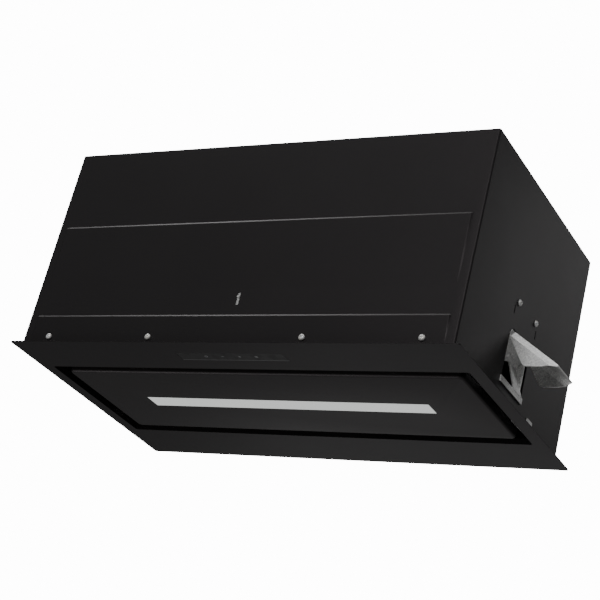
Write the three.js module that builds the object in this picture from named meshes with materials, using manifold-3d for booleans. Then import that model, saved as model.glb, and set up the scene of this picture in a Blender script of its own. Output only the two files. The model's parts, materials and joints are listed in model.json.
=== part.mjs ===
// Built-in cooker hood for a 60 cm wall cabinet, as an assembly of separate pieces.
//
// Frame: millimetres, +X to the right, +Y to the back, +Z up. The origin is the centre of the
// flange's lower face, the face that a person looks up at. The casing above it goes up through a
// cut-out in the cabinet's floor and the flange closes the cut-out from below.

import * as THREE from 'three';
import { mergeVertices } from 'three/addons/utils/BufferGeometryUtils.js';
import Module from 'manifold-3d';

const wasm = await Module();
wasm.setup();

// ---------------------------------------------------------------- driving dimensions

const CLEARANCE = 0.3; // between neighbouring pieces
const SHEET = 1; // painted and galvanised steel sheet

// Flange: the visible frame round the intake opening
const FLANGE_WIDTH = 520;
const FLANGE_DEPTH = 294;
const FLANGE_SHEET = 1.2;
const FLANGE_CORNER = 3;
const OPENING_WIDTH = 490;
const OPENING_DEPTH = 168;
const OPENING_Y = -3; // centre of the opening
const LIP_HEIGHT = 7; // turned-up edge of the opening
const UPSTAND_HEIGHT = 19; // turned-up ring that the casing is screwed to

// Casing
const CASING_WIDTH = 502;
const CASING_DEPTH = 267;
const CASING_HEIGHT = 234;
const CASING_Y = -5; // centre of the casing, nearer to the flange's front edge
const CASING_BEND = 2;
const TURNED_EDGE = 14; // turned-down edge of the top panel
const BEAD_RADIUS = 1.1; // pressed stiffening lines across the front wall
const BEAD_HEIGHTS = [33, 140];
const BEAD_END = 10; // from the end of a line to the casing's corner

// Hinged intake panel and its lamp
const INTAKE_GAP = 12; // air slot all round the panel
const PANEL_DEPTH = 10;
const PANEL_EDGE = 3; // rounded edge of the panel
const PANEL_CORNER = 3;
const HINGE_INSET = 11; // hinge axis in front of the panel's rear edge
const HINGE_HEIGHT = 16;
const PIVOT_RADIUS = 2.5;
const LAMP_LENGTH = 339;
const LAMP_WIDTH = 21;
const LAMP_Y = 2; // lamp's centre behind the panel's centre
const LAMP_COUNT = 24;
const LAMP_END = 10; // from the strip's end to the first diode
const CATCH_X = 150;
const CATCH_REACH = 13; // of a magnet's arm over the panel
const CATCH_SETBACK = 20; // foot of the arm in front of the opening

// Control strip in the flange's front border
const STRIP_LENGTH = 125;
const STRIP_WIDTH = 16;
const STRIP_SHIFT = 2.25; // in front of the middle of the border
const COVER_HEIGHT = 11;
const COVER_WALL = 1.5;
const HARNESS_RADIUS = 3; // hole in the cover for the harness

// Filter deck and grease filters
const DECK_HEIGHT = 84; // upper face of the deck
const DECK_SIDE_FLANGE = 30;
const FILTER_WIDTH = 184;
const FILTER_MARGIN = 19.5; // between the filters and the casing, at the front and the back
const FILTER_THICKNESS = 12;
const FILTER_BORDER = 14;
const FILTER_SHIFT = 1; // in front of the casing's centre
const FILTER_SPACING = 6; // between the two cassettes
const MESH_WAVES = 18;
const LATCH_THICKNESS = 3.6;
const LATCH_BOLT = 12;
const LATCH_REACH = 3; // bolt past the keeper

// Blower
const IMPELLER_RADIUS = 50;
const IMPELLER_LENGTH = 104;
const BLADE_DEPTH = 9;
const BLADE_COUNT = 24;
const BLADE_SWEEP = 0.16; // how far a blade leans forward over its depth, in radians
const SCROLL_TIGHT = 55; // inner radius of the scroll at its tongue
const SCROLL_WIDE = 84; // inner radius of the scroll where the outlet begins
const SCROLL_TONGUE = THREE.MathUtils.degToRad(70);
const SCROLL_SWEEP = THREE.MathUtils.degToRad(250);
const SCROLL_STEPS = 20;
const VOLUTE_WALL = 2;
const VOLUTE_WIDTH = 124;
const INLET_RADIUS = 44;
const INLET_FLARE = 5;
const INLET_SHEET = 1.2;
const MOTOR_RADIUS = 33;
const MOTOR_LENGTH = 64;
const SHAFT_RADIUS = 4;
const SHAFT_BORE = 30; // how deep the shaft stands in the motor
const HUB_LENGTH = 12;
const MOTOR_ARMS = [115, 235, 355].map(THREE.MathUtils.degToRad); // angles of the bracket's arms
const ARM_RADIUS = 57;
const BRACKET_SHEET = 2;

// Duct collar with two non-return flaps
const COLLAR_RADIUS = 75;
const COLLAR_WALL = 2;
const COLLAR_FLANGE = 11;
const COLLAR_HEIGHT = 30;
const FLAP_HEIGHT = 13; // flap hinge above the casing's top
const FLAP_SHEET = 1.5;
const PIN_RADIUS = 2;
const KNUCKLE_SHARES = [[-0.8, -0.56], [-0.24, -0.03], [0.32, 0.53]]; // along the back flap's edge

// Spring clips in the side windows
const CLIP_Y = -8;
const CLIP_SHEET = 1.4;
const CLIP_SEAT = 2.8; // turning point of the clip above the window's sill
const SILL_HEIGHT = 22.2;
const WINDOW_MARGIN = { front: 0.5, rear: 4, top: 2.6 }; // window beyond the clip's wing
const WING_WIDTH = 48;
const WING_SLOPE = THREE.MathUtils.degToRad(34.5);
const WING_BEND = 6.4; // bevelled fold between the wing's crown and its cheeks
const RIDGE_HEIGHT = 48.8; // ridge above the clip's foot
const WING_REACH = 54;
const TIP_SKEW = 0.06; // the wing's end runs a little outwards to the back
const CHEEK_DROP = 40.2; // lower edge of the cheeks below the ridge
const CHEEK_START = 19.5; // corner of the cheeks out from the foot
const KNEE_DEPTH = 9.5; // how far the clip reaches into the casing
const KNEE_HEIGHT = 27;
const BACK_DROP = 10; // how far the front corner of the clip's back hangs below the knee
const TONGUE_WIDTH = 20;
const HOOK_WIDTH = 56;
const HOOK_RANGE = [-8.6, -2.4]; // hook over the outside of the sill, about the clip's foot

// Screws
const SCREW_HEAD = 3.2;
const SCREW_HEAD_HEIGHT = 2.2;
const SCREW_SHANK = 1.8;
const SCREW_LENGTH = 5;
const SCREW_HOLE = 2.2;
const FRONT_SCREW_X = [-217, -90, 90, 217];
const FRONT_SCREW_Z = 10;
const DECK_SCREW_Y = [-25, 20];
const DECK_SCREW_RISE = 21; // above the deck
const BRACKET_TAB = new THREE.Vector3(1.2, 13.5, 3.6); // bent-over tab of a pivot bracket, outside the wall
const BRACKET_TAB_Z = 9.8;
const SLIT_WIDTH = 1.6;
const SLIT_HEIGHT = 9;

// Electronics above the deck
const BOX_SIZE = new THREE.Vector3(120, 70, 45);
const BOX_INSET = new THREE.Vector2(29.7, 7.2); // from the casing's left and front walls
const BOX_WALL = 2;
const CAPACITOR_RADIUS = 17;
const CAPACITOR_LENGTH = 62;
const GLAND_RADIUS = 9;
const GLAND_BORE = 4;
const GLAND_THREAD = 16; // below the casing's top
const GLAND_CAP = 13; // above it
const GLAND_INSET = new THREE.Vector2(51, 53.5); // from the casing's left and back walls
const CAPACITOR_INSET = new THREE.Vector2(101, 103.5);

// ---------------------------------------------------------------- places worked out from them

const casing = {
  left: -CASING_WIDTH / 2,
  right: CASING_WIDTH / 2,
  front: CASING_Y - CASING_DEPTH / 2,
  back: CASING_Y + CASING_DEPTH / 2,
  bottom: FLANGE_SHEET + CLEARANCE,
  top: CASING_HEIGHT,
};
// Box that the inner pieces may fill: inside the wrapped walls and the back panel
const inner = {
  right: casing.right - SHEET - CLEARANCE,
  front: casing.front + SHEET + CLEARANCE,
  back: casing.back - SHEET - CLEARANCE,
  top: casing.top - SHEET - CLEARANCE,
};
const opening = {
  right: OPENING_WIDTH / 2,
  front: OPENING_Y - OPENING_DEPTH / 2,
  back: OPENING_Y + OPENING_DEPTH / 2,
};
const panel = {
  width: OPENING_WIDTH - 2 * INTAKE_GAP,
  depth: OPENING_DEPTH - 2 * INTAKE_GAP,
  right: opening.right - INTAKE_GAP,
  front: opening.front + INTAKE_GAP,
  back: opening.back - INTAKE_GAP,
};
const hinge = { y: panel.back - HINGE_INSET, z: HINGE_HEIGHT };
const lampY = OPENING_Y + LAMP_Y;
const plateTop = PANEL_DEPTH - SHEET / 2; // upper face of the panel's back plate
const deckUnderside = DECK_HEIGHT - SHEET;
const filter = {
  depth: CASING_DEPTH - 2 * FILTER_MARGIN,
  y: CASING_Y - FILTER_SHIFT,
  front: CASING_Y - FILTER_SHIFT - CASING_DEPTH / 2 + FILTER_MARGIN,
  back: CASING_Y - FILTER_SHIFT + CASING_DEPTH / 2 - FILTER_MARGIN,
  top: deckUnderside - CLEARANCE,
  bottom: deckUnderside - CLEARANCE - FILTER_THICKNESS,
  x: (FILTER_WIDTH + FILTER_SPACING) / 2,
};
const keeperY = filter.front - 4;
const scrollBottom = scrollRadius(-Math.PI / 2) + VOLUTE_WALL;
const blower = {
  y: CASING_Y + (SCROLL_WIDE - SCROLL_TIGHT * Math.cos(SCROLL_TONGUE)) / 2,
  z: DECK_HEIGHT + 3 + scrollBottom,
};
const outletTop = inner.top - blower.z;
const volute = { side: VOLUTE_WIDTH / 2 };
const bracketPlane = volute.side + 7;
const collarBase = casing.top + CLEARANCE;
const clipPivot = {
  x: casing.right - SHEET / 2,
  y: CLIP_Y,
  z: SILL_HEIGHT + CLIP_SEAT,
};
const clipWindow = {
  front: CLIP_Y - WING_WIDTH / 2 - WINDOW_MARGIN.front,
  back: CLIP_Y + WING_WIDTH / 2 + WINDOW_MARGIN.rear,
  top: clipPivot.z + RIDGE_HEIGHT + WINDOW_MARGIN.top,
};
const stripCentre = (casing.front + opening.front) / 2 - STRIP_SHIFT;
const glandPlace = [casing.left + GLAND_INSET.x, casing.back - GLAND_INSET.y];
const capacitorPlace = [casing.left + CAPACITOR_INSET.x, casing.back - CAPACITOR_INSET.y];

/** Inner radius of the scroll at an angle from +Y: it grows evenly from the tongue round to the outlet. */
function scrollRadius(angle) {
  const share = (SCROLL_TONGUE - angle) / SCROLL_SWEEP;
  return SCROLL_TIGHT + (SCROLL_WIDE - SCROLL_TIGHT) * share;
}

// ---------------------------------------------------------------- solids

const GRID = 1e-4;

/**
 * A closed three.js geometry as a manifold-3d solid. Its vertices are set on a fine grid, so that
 * faces meant to be level with each other are exactly level, and shared ones are merged.
 */
function solid(geometry) {
  const bare = geometry.clone();
  bare.deleteAttribute('normal');
  bare.deleteAttribute('uv');
  const places = bare.attributes.position.array;
  places.forEach((value, i) => { places[i] = Math.round(value / GRID) * GRID; });
  const merged = mergeVertices(bare, GRID);
  const corners = merged.index.array;
  const kept = [];
  for (let i = 0; i < corners.length; i += 3) {
    const [a, b, c] = [corners[i], corners[i + 1], corners[i + 2]];
    if (a !== b && b !== c && c !== a) kept.push(a, b, c);
  }
  return new wasm.Manifold(new wasm.Mesh({
    numProp: 3,
    vertProperties: new Float32Array(merged.attributes.position.array),
    triVerts: new Uint32Array(kept),
  }));
}

/** A manifold-3d solid as a three.js geometry. */
function geometryOf(body) {
  const { vertProperties, triVerts } = body.getMesh();
  const geometry = new THREE.BufferGeometry();
  geometry.setAttribute('position', new THREE.BufferAttribute(vertProperties, 3));
  geometry.setIndex(new THREE.BufferAttribute(triVerts, 1));
  geometry.computeVertexNormals();
  return geometry;
}

/** A box between two corners, each range given as [low, high]. */
function block([x0, x1], [y0, y1], [z0, z1]) {
  const box = new THREE.BoxGeometry(x1 - x0, y1 - y0, z1 - z0);
  box.translate((x0 + x1) / 2, (y0 + y1) / 2, (z0 + z1) / 2);
  return solid(box);
}

// How an outline drawn in two coordinates is turned so that it is extruded along an axis
const TURN = {
  x: new THREE.Matrix4().makeBasis(
    new THREE.Vector3(0, 1, 0), new THREE.Vector3(0, 0, 1), new THREE.Vector3(1, 0, 0)),
  y: new THREE.Matrix4().makeBasis(
    new THREE.Vector3(1, 0, 0), new THREE.Vector3(0, 0, 1), new THREE.Vector3(0, -1, 0)),
  z: new THREE.Matrix4(),
};

/** Extrudes an outline along an axis: (y, z) along x, (x, z) along y, (x, y) along z. */
function extrude(axis, shape, [from, to], curveSegments = 4) {
  const outline = Array.isArray(shape)
    ? new THREE.Shape(shape.map(([a, b]) => new THREE.Vector2(a, b)))
    : shape;
  const geometry = new THREE.ExtrudeGeometry(outline, {
    depth: to - from, bevelEnabled: false, curveSegments,
  });
  geometry.applyMatrix4(TURN[axis]);
  const start = axis === 'y' ? to : from;
  geometry.translate(axis === 'x' ? start : 0, axis === 'y' ? start : 0, axis === 'z' ? start : 0);
  return solid(geometry);
}

/** A rectangle with rounded corners, round the point (cx, cy). */
function roundedRectangle(width, depth, radius, cx = 0, cy = 0) {
  const [x, y] = [width / 2 - radius, depth / 2 - radius];
  const shape = new THREE.Shape();
  shape.absarc(cx + x, cy + y, radius, 0, Math.PI / 2);
  shape.absarc(cx - x, cy + y, radius, Math.PI / 2, Math.PI);
  shape.absarc(cx - x, cy - y, radius, Math.PI, 1.5 * Math.PI);
  shape.absarc(cx + x, cy - y, radius, 1.5 * Math.PI, 2 * Math.PI);
  return shape;
}

/** A cylinder along an axis, round a point given in the two other coordinates. */
function rod(axis, radius, [a, b], [from, to], sides = 16) {
  const geometry = new THREE.CylinderGeometry(radius, radius, to - from, sides);
  const middle = (from + to) / 2;
  if (axis === 'x') geometry.rotateZ(-Math.PI / 2).translate(middle, a, b);
  if (axis === 'y') geometry.translate(a, middle, b);
  if (axis === 'z') geometry.rotateX(Math.PI / 2).translate(a, b, middle);
  return solid(geometry);
}

/** Turns a profile of [radius, height] points round the z axis. */
function turned(profile, sides) {
  const geometry = new THREE.LatheGeometry(profile.map(([r, h]) => new THREE.Vector2(r, h)), sides);
  geometry.rotateX(Math.PI / 2);
  return solid(geometry);
}

/** Turns a profile that closes on itself into a ring round the z axis. */
function ring(profile, sides) {
  return turned([...profile, profile[0]], sides);
}

/** A range made smaller by a wall at both ends. */
function inset([low, high], wall) {
  return [low + wall, high - wall];
}

/** Joins a list of solids. */
function join(bodies) {
  return bodies.reduce((sum, body) => sum.add(body));
}

/** Cuts a list of solids out of a body. */
function cut(body, tools) {
  return body.subtract(join(tools));
}

// ---------------------------------------------------------------- materials

const FINISHES = {
  paint: { color: 0x1c1b1b, roughness: 0.45, metalness: 0.3 },
  panel: { color: 0x201e1f, roughness: 0.38, metalness: 0.3 },
  zinc: { color: 0xa6a6a3, roughness: 0.42, metalness: 0.9 },
  bright: { color: 0xd8d8d6, roughness: 0.25, metalness: 1 },
  aluminium: { color: 0xb8babc, roughness: 0.35, metalness: 1 },
  diffuser: { color: 0xd2d4d2, roughness: 0.3, metalness: 0 },
  glass: { color: 0x0c0c0d, roughness: 0.12, metalness: 0 },
  black: { color: 0x18181a, roughness: 0.55, metalness: 0 },
  grey: { color: 0x55585c, roughness: 0.6, metalness: 0 },
  white: { color: 0xe4e3dd, roughness: 0.5, metalness: 0 },
  board: { color: 0x1e5a34, roughness: 0.5, metalness: 0 },
  rubber: { color: 0x101010, roughness: 0.85, metalness: 0 },
};

/** Adds a body to a group as a named mesh with a material of its own. */
function add(group, name, body, finish) {
  const mesh = new THREE.Mesh(geometryOf(body), new THREE.MeshStandardMaterial(FINISHES[finish]));
  mesh.name = name;
  group.add(mesh);
  return mesh;
}

// ---------------------------------------------------------------- screws

/** A pan-head screw along z, with the underside of its head at the origin. */
function panHeadScrew() {
  return turned([
    [0, -SCREW_LENGTH],
    [SCREW_SHANK, -SCREW_LENGTH],
    [SCREW_SHANK, 0],
    [SCREW_HEAD, 0],
    [SCREW_HEAD * 0.62, SCREW_HEAD_HEIGHT],
    [0, SCREW_HEAD_HEIGHT],
  ], 8);
}

// Turns, in degrees about x, y and z, that make a screw's head face each way
const FACING = {
  front: [90, 0, 0],
  back: [-90, 0, 0],
  right: [0, 90, 0],
  left: [0, -90, 0],
  up: [0, 0, 0],
};

/** A set of screws in one piece list, each seated just off the sheet at its place. */
function screws(facing, places) {
  const [x, y, z] = {
    front: [0, -CLEARANCE, 0],
    back: [0, CLEARANCE, 0],
    right: [CLEARANCE, 0, 0],
    left: [-CLEARANCE, 0, 0],
    up: [0, 0, CLEARANCE],
  }[facing];
  const one = panHeadScrew().rotate(FACING[facing]);
  return join(places.map((place) => one.translate([place[0] + x, place[1] + y, place[2] + z])));
}

/** Holes for screws along an axis, at places given in the two other coordinates. */
function holes(axis, places, range) {
  return places.map((place) => rod(axis, SCREW_HOLE, place, range, 8));
}

// Screw places on each side of the hood, shared by the screws and the sheets they pass
const bracketTabY = hinge.y - 11;
const deckScrewZ = DECK_HEIGHT + DECK_SCREW_RISE;
const frontScrews = FRONT_SCREW_X.map((x) => [x, FRONT_SCREW_Z]);
const deckScrews = DECK_SCREW_Y.map((y) => [y, deckScrewZ]);
const backScrewRows = [FRONT_SCREW_Z, DECK_HEIGHT + 6, inner.top - 6]
  .map((z) => [-0.35, 0, 0.35].map((share) => [share * CASING_WIDTH, z]));
const tabSlot = { x: 5, low: 46, high: 60, width: 3.4 };

/** The neck of a bracket's tab along a range of x, or with a margin the slot that it passes. */
function bracketTab(range, margin) {
  const [y, z] = [BRACKET_TAB.y / 2 - 1 + margin, BRACKET_TAB.z / 4 + margin];
  return block(range, [bracketTabY - y, bracketTabY + y], [BRACKET_TAB_Z - z, BRACKET_TAB_Z + z]);
}

// ---------------------------------------------------------------- casing

/** Front and side walls folded from one sheet, with the side windows and the pressed lines. */
function casingWrap() {
  const bend = CASING_BEND;
  const half = casing.right;
  const outline = new THREE.Shape();
  outline.moveTo(-half, casing.back);
  outline.lineTo(-half, casing.front + bend);
  outline.absarc(-half + bend, casing.front + bend, bend, Math.PI, 1.5 * Math.PI);
  outline.absarc(half - bend, casing.front + bend, bend, 1.5 * Math.PI, 2 * Math.PI);
  outline.lineTo(half, casing.back);
  outline.lineTo(half - SHEET, casing.back);
  outline.absarc(half - bend, casing.front + bend, bend - SHEET, 0, -Math.PI / 2, true);
  outline.absarc(-half + bend, casing.front + bend, bend - SHEET, -Math.PI / 2, -Math.PI, true);
  outline.lineTo(-half + SHEET, casing.back);
  const walls = extrude('z', outline, [casing.bottom, casing.top]);
  const lineEnd = half - BEAD_END;
  const bead = (z) => rod('x', BEAD_RADIUS, [casing.front + 0.4, z], [-lineEnd, lineEnd], 8);
  const behind = block([-half, half], [casing.front + SHEET / 2, casing.front + 4], [0, casing.top]);
  const raised = cut(join(BEAD_HEIGHTS.map(bead)), [behind]);
  const across = [-half - 1, half + 1];
  const { front, back, top } = clipWindow;
  const windows = extrude('x', [
    [front, SILL_HEIGHT], [back, SILL_HEIGHT], [back, top - WING_BEND], [back - WING_BEND, top],
    [front + WING_BEND, top], [front, top - WING_BEND],
  ], across);
  const slits = DECK_SCREW_Y.map((y, i) => block(across,
    [y - 8 + 12 * i, y - 8 + 12 * i + SLIT_WIDTH], [deckScrewZ - 15, deckScrewZ - 15 + SLIT_HEIGHT]));
  const slot = block([tabSlot.x - tabSlot.width / 2, tabSlot.x + tabSlot.width / 2],
    [casing.front - 1, casing.front + 2], [tabSlot.low, tabSlot.high]);
  return cut(walls.add(raised), [
    windows, ...slits, slot,
    ...holes('y', frontScrews, [casing.front - 1, casing.front + 2]),
    bracketTab(across, CLEARANCE),
    ...holes('x', deckScrews, across),
  ]);
}

function backPanel() {
  const sheet = block([-inner.right, inner.right], [casing.back - SHEET, casing.back],
    [casing.bottom, casing.top]);
  return cut(sheet, holes('y', backScrewRows.flat(), [casing.back - 2, casing.back + 1]));
}

/** The screws of one row of the back panel, fast in the flange, the deck or the top panel. */
function backFixings(row) {
  return screws('back', backScrewRows[row].map(([x, z]) => [x, casing.back, z]));
}

/** An open tray of sheet: a floor with edges turned one way, all inside the casing's walls. */
function tray([z0, z1], edgeTop, edgeBottom) {
  const [x, front, back] = [inner.right, inner.front, inner.back];
  const floor = block([-x, x], [front, back], [z0, z1]);
  const rim = block([-x, x], [front, back], [edgeBottom, edgeTop])
    .subtract(block([-x + SHEET, x - SHEET], [front + SHEET, back - SHEET], [edgeBottom - 1, edgeTop + 1]));
  return floor.add(rim);
}

function topPanel() {
  const sheet = tray([casing.top - SHEET, casing.top], casing.top, casing.top - TURNED_EDGE);
  const range = [casing.top - 2, casing.top + 1];
  const pierced = cut(sheet, [
    rod('z', COLLAR_RADIUS - COLLAR_WALL, [0, CASING_Y], range, 40),
    rod('z', GLAND_RADIUS - 1 + CLEARANCE, glandPlace, range, 12),
    rod('z', 4 + CLEARANCE, capacitorPlace, range, 12),
  ]);
  const collarFixings = screws('up', collarScrews.map(([x, y]) => [x, y, collarBase + COLLAR_WALL]));
  return join([pierced, collarFixings, backFixings(2)]);
}

const collarScrewRadius = COLLAR_RADIUS + COLLAR_FLANGE / 2;
const collarScrews = [45, 135, 225, 315].map(THREE.MathUtils.degToRad)
  .map((a) => [collarScrewRadius * Math.cos(a), CASING_Y + collarScrewRadius * Math.sin(a)]);

/** Frame with the intake opening, its turned-up lip and the upstand that the casing slips over. */
function flangeFrame() {
  const plate = extrude('z', roundedRectangle(FLANGE_WIDTH, FLANGE_DEPTH, FLANGE_CORNER), [0, FLANGE_SHEET]);
  const [x, front, back] = [inner.right, inner.front, inner.back];
  const upstand = block([-x, x], [front, back], [0, UPSTAND_HEIGHT])
    .subtract(block([-x + SHEET, x - SHEET], [front + SHEET, back - SHEET], [-1, UPSTAND_HEIGHT + 1]));
  const lip = extrude('z', roundedRectangle(OPENING_WIDTH + 2 * SHEET, OPENING_DEPTH + 2 * SHEET,
    PANEL_CORNER + SHEET, 0, OPENING_Y), [0, LIP_HEIGHT]);
  const mouth = extrude('z', roundedRectangle(OPENING_WIDTH, OPENING_DEPTH, PANEL_CORNER, 0, OPENING_Y),
    [-1, LIP_HEIGHT + 1]);
  const [u, v] = [STRIP_LENGTH / 2 + CLEARANCE, STRIP_WIDTH / 2 + CLEARANCE];
  const stripSeat = block([-u, u], [stripCentre - v, stripCentre + v], [-1, FLANGE_SHEET + 1]);
  return cut(join([plate, upstand, lip]), [
    mouth, stripSeat,
    ...holes('y', frontScrews, [front - 1, front + 2]),
    bracketTab([-x - 1, x + 1], CLEARANCE),
  ]).add(backFixings(0));
}

const casingGroup = new THREE.Group();
add(casingGroup, 'casing_wrap', casingWrap(), 'paint');
add(casingGroup, 'back_panel', backPanel(), 'paint');
add(casingGroup, 'top_panel', topPanel(), 'paint');
add(casingGroup, 'flange_frame', flangeFrame(), 'paint');
frontScrews.forEach(([x, z], i) => {
  add(casingGroup, `front_screw_${i + 1}`, screws('front', [[x, casing.front, z]]), 'bright');
});
DECK_SCREW_Y.forEach((y, i) => {
  const place = i ? 'rear' : 'front';
  add(casingGroup, `right_deck_screw_${place}`, screws('right', [[casing.right, y, deckScrewZ]]), 'bright');
  add(casingGroup, `left_deck_screw_${place}`, screws('left', [[casing.left, y, deckScrewZ]]), 'bright');
});

/** Galvanised hanging tab behind the front wall, seen through its slot, with its screw. */
function hangingTab() {
  const y = [casing.front + SHEET + CLEARANCE, casing.front + SHEET + CLEARANCE + 1.2];
  const middle = (tabSlot.low + tabSlot.high) / 2;
  const foot = [y[0], y[0] + 12];
  const plate = block([tabSlot.x - 9, tabSlot.x + 9], y, [tabSlot.low - 8, deckUnderside - CLEARANCE]);
  const arm = block([tabSlot.x - 9, tabSlot.x + 9], foot,
    [deckUnderside - CLEARANCE - 1.2, deckUnderside - CLEARANCE]);
  const stud = rod('y', 1.3, [tabSlot.x, middle + 2], [casing.front - 0.6, y[0] + 0.5], 8);
  return join([plate, arm, stud]);
}
add(casingGroup, 'hanging_tab', hangingTab(), 'zinc');

// ---------------------------------------------------------------- control strip

const controls = new THREE.Group();
const stripX = [-STRIP_LENGTH / 2, STRIP_LENGTH / 2];
const stripY = [stripCentre - STRIP_WIDTH / 2, stripCentre + STRIP_WIDTH / 2];
const boardZ = [FLANGE_SHEET + CLEARANCE, FLANGE_SHEET + CLEARANCE + 1.6];
add(controls, 'control_strip', block(stripX, stripY, [0, FLANGE_SHEET]), 'glass');

function controlBoard() {
  const board = block([stripX[0] - 1, stripX[1] + 1], [stripY[0] - 2, stripY[1] + 2], boardZ);
  const part = (share, length, height) => block(
    [share * STRIP_LENGTH, share * STRIP_LENGTH + length],
    [stripCentre - STRIP_WIDTH / 4, stripCentre + STRIP_WIDTH / 4],
    [boardZ[1] - 0.2, boardZ[1] + height]);
  const chips = [-0.36, -0.14, 0.06, 0.28].map((share, i) => part(share, 8 + 2 * (i % 2), 1.6));
  const socket = part(0.4, 10, 5);
  return join([board, ...chips, socket]);
}
add(controls, 'control_board', controlBoard(), 'board');

function controlCover() {
  const [x, y] = [STRIP_LENGTH / 2 + 4, STRIP_WIDTH / 2 + 5];
  const [bottom, top] = [FLANGE_SHEET + CLEARANCE, FLANGE_SHEET + CLEARANCE + COVER_HEIGHT];
  const shell = block([-x, x], [stripCentre - y, stripCentre + y], [bottom, top]);
  const ears = [-1, 1].map((side) => block([side * x - 4, side * x + 4], [stripCentre - 4, stripCentre + 4],
    [bottom, bottom + 2]));
  const [u, v] = [x - COVER_WALL, y - COVER_WALL];
  const hollow = block([-u, u], [stripCentre - v, stripCentre + v], [bottom - 1, top - COVER_WALL]);
  const harness = rod('y', HARNESS_RADIUS, [x - 4 * HARNESS_RADIUS, top - HARNESS_RADIUS - COVER_WALL],
    [stripCentre + v - 1, stripCentre + y + 1], 10);
  return cut(join([shell, ...ears]), [hollow, harness]);
}
add(controls, 'control_cover', controlCover(), 'black');

// ---------------------------------------------------------------- hinged intake panel

const panelGroup = new THREE.Group();

/** Folded pan with softly rounded lower edges and the lamp's slot. */
function panelPan() {
  const edge = PANEL_EDGE;
  const outline = roundedRectangle(
    panel.width - 2 * edge, panel.depth - 2 * edge, PANEL_CORNER, 0, OPENING_Y);
  const geometry = new THREE.ExtrudeGeometry(outline, {
    depth: PANEL_DEPTH, bevelThickness: edge, bevelSize: edge, bevelSegments: 4, curveSegments: 4,
  });
  geometry.translate(0, 0, edge);
  const [x, y] = [panel.width / 2, panel.depth / 2];
  const above = block([-x - 1, x + 1], [panel.front - 1, panel.back + 1],
    [PANEL_DEPTH, PANEL_DEPTH + 4 * edge]);
  const hollow = block([-x + SHEET, x - SHEET], [OPENING_Y - y + SHEET, OPENING_Y + y - SHEET],
    [SHEET + edge - 1, PANEL_DEPTH + 1]);
  const floor = block([-x + edge, x - edge], [OPENING_Y - y + edge, OPENING_Y + y - edge],
    [SHEET, PANEL_DEPTH]);
  const slot = block([-LAMP_LENGTH / 2 - CLEARANCE, LAMP_LENGTH / 2 + CLEARANCE],
    [lampY - LAMP_WIDTH / 2 - CLEARANCE, lampY + LAMP_WIDTH / 2 + CLEARANCE], [-1, SHEET + 1]);
  return cut(solid(geometry), [above, hollow, floor, slot]);
}
add(panelGroup, 'panel_pan', panelPan(), 'panel');

const ear = { outer: panel.right - SHEET - CLEARANCE, half: 6 };
const plateZ = [plateTop - SHEET, plateTop];

/** Galvanised back plate of the panel, with an ear at each end for the hinge pin. */
function panelBackPlate() {
  const y = [panel.front + SHEET + CLEARANCE, panel.back - SHEET - CLEARANCE];
  const plate = block([-ear.outer, ear.outer], y, plateZ);
  const ears = [-1, 1].map((side) => {
    const x = side > 0 ? [ear.outer - 1.5, ear.outer] : [-ear.outer, -ear.outer + 1.5];
    const upright = block(x, [hinge.y - ear.half, hinge.y + ear.half], [plateZ[0], hinge.z]);
    return upright.add(rod('x', ear.half, [hinge.y, hinge.z], x, 16));
  });
  const bores = rod('x', PIVOT_RADIUS + CLEARANCE, [hinge.y, hinge.z], [-ear.outer - 1, ear.outer + 1], 16);
  const ribs = [-0.3, 0.3].map((share) => {
    const ribY = OPENING_Y + share * panel.depth;
    return rod('x', 2, [ribY, plateTop - 0.6], [-ear.outer + 20, ear.outer - 20], 8);
  });
  const below = block([-ear.outer, ear.outer], y, [0, plateZ[0] + 0.2]);
  return join([plate, ...ears, cut(join(ribs), [below])]).subtract(bores);
}
add(panelGroup, 'panel_back_plate', panelBackPlate(), 'zinc');

const lampX = [-LAMP_LENGTH / 2, LAMP_LENGTH / 2];
const lampSpan = [lampY - LAMP_WIDTH / 2, lampY + LAMP_WIDTH / 2];
const rebate = 3;
const lensTop = SHEET + CLEARANCE + 1;

function lampLens() {
  const bar = block(lampX, lampSpan, [0, lensTop]);
  const shoulder = block([lampX[0] - rebate, lampX[1] + rebate],
    [lampSpan[0] - rebate, lampSpan[1] + rebate], [SHEET + CLEARANCE, lensTop]);
  return bar.add(shoulder);
}
add(panelGroup, 'lamp_lens', lampLens(), 'diffuser');

const housingZ = [lensTop + CLEARANCE, plateZ[0] - CLEARANCE];
const lampSheet = 1.2; // of the housing and of the board in it
const ledZ = [housingZ[1] - 2 * lampSheet - CLEARANCE, housingZ[1] - lampSheet - CLEARANCE];

function lampHousing() {
  const [x, y] = [[lampX[0] - rebate, lampX[1] + rebate], [lampSpan[0] - rebate, lampSpan[1] + rebate]];
  const hollow = block(inset(x, lampSheet), inset(y, lampSheet), [housingZ[0] - 1, housingZ[1] - lampSheet]);
  return block(x, y, housingZ).subtract(hollow);
}
add(panelGroup, 'lamp_housing', lampHousing(), 'aluminium');

function lampBoard() {
  const board = block([lampX[0] + 2, lampX[1] - 2], [lampY - 6, lampY + 6], ledZ);
  const pitch = (LAMP_LENGTH - 2 * LAMP_END) / (LAMP_COUNT - 1);
  const leds = Array.from({ length: LAMP_COUNT }, (_, i) => {
    const x = lampX[0] + LAMP_END + i * pitch;
    return block([x - 1.75, x + 1.75], [lampY - 1.4, lampY + 1.4], [ledZ[0] - 0.7, ledZ[0] + 0.2]);
  });
  return join([board, ...leds]);
}
add(panelGroup, 'lamp_board', lampBoard(), 'white');

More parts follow.
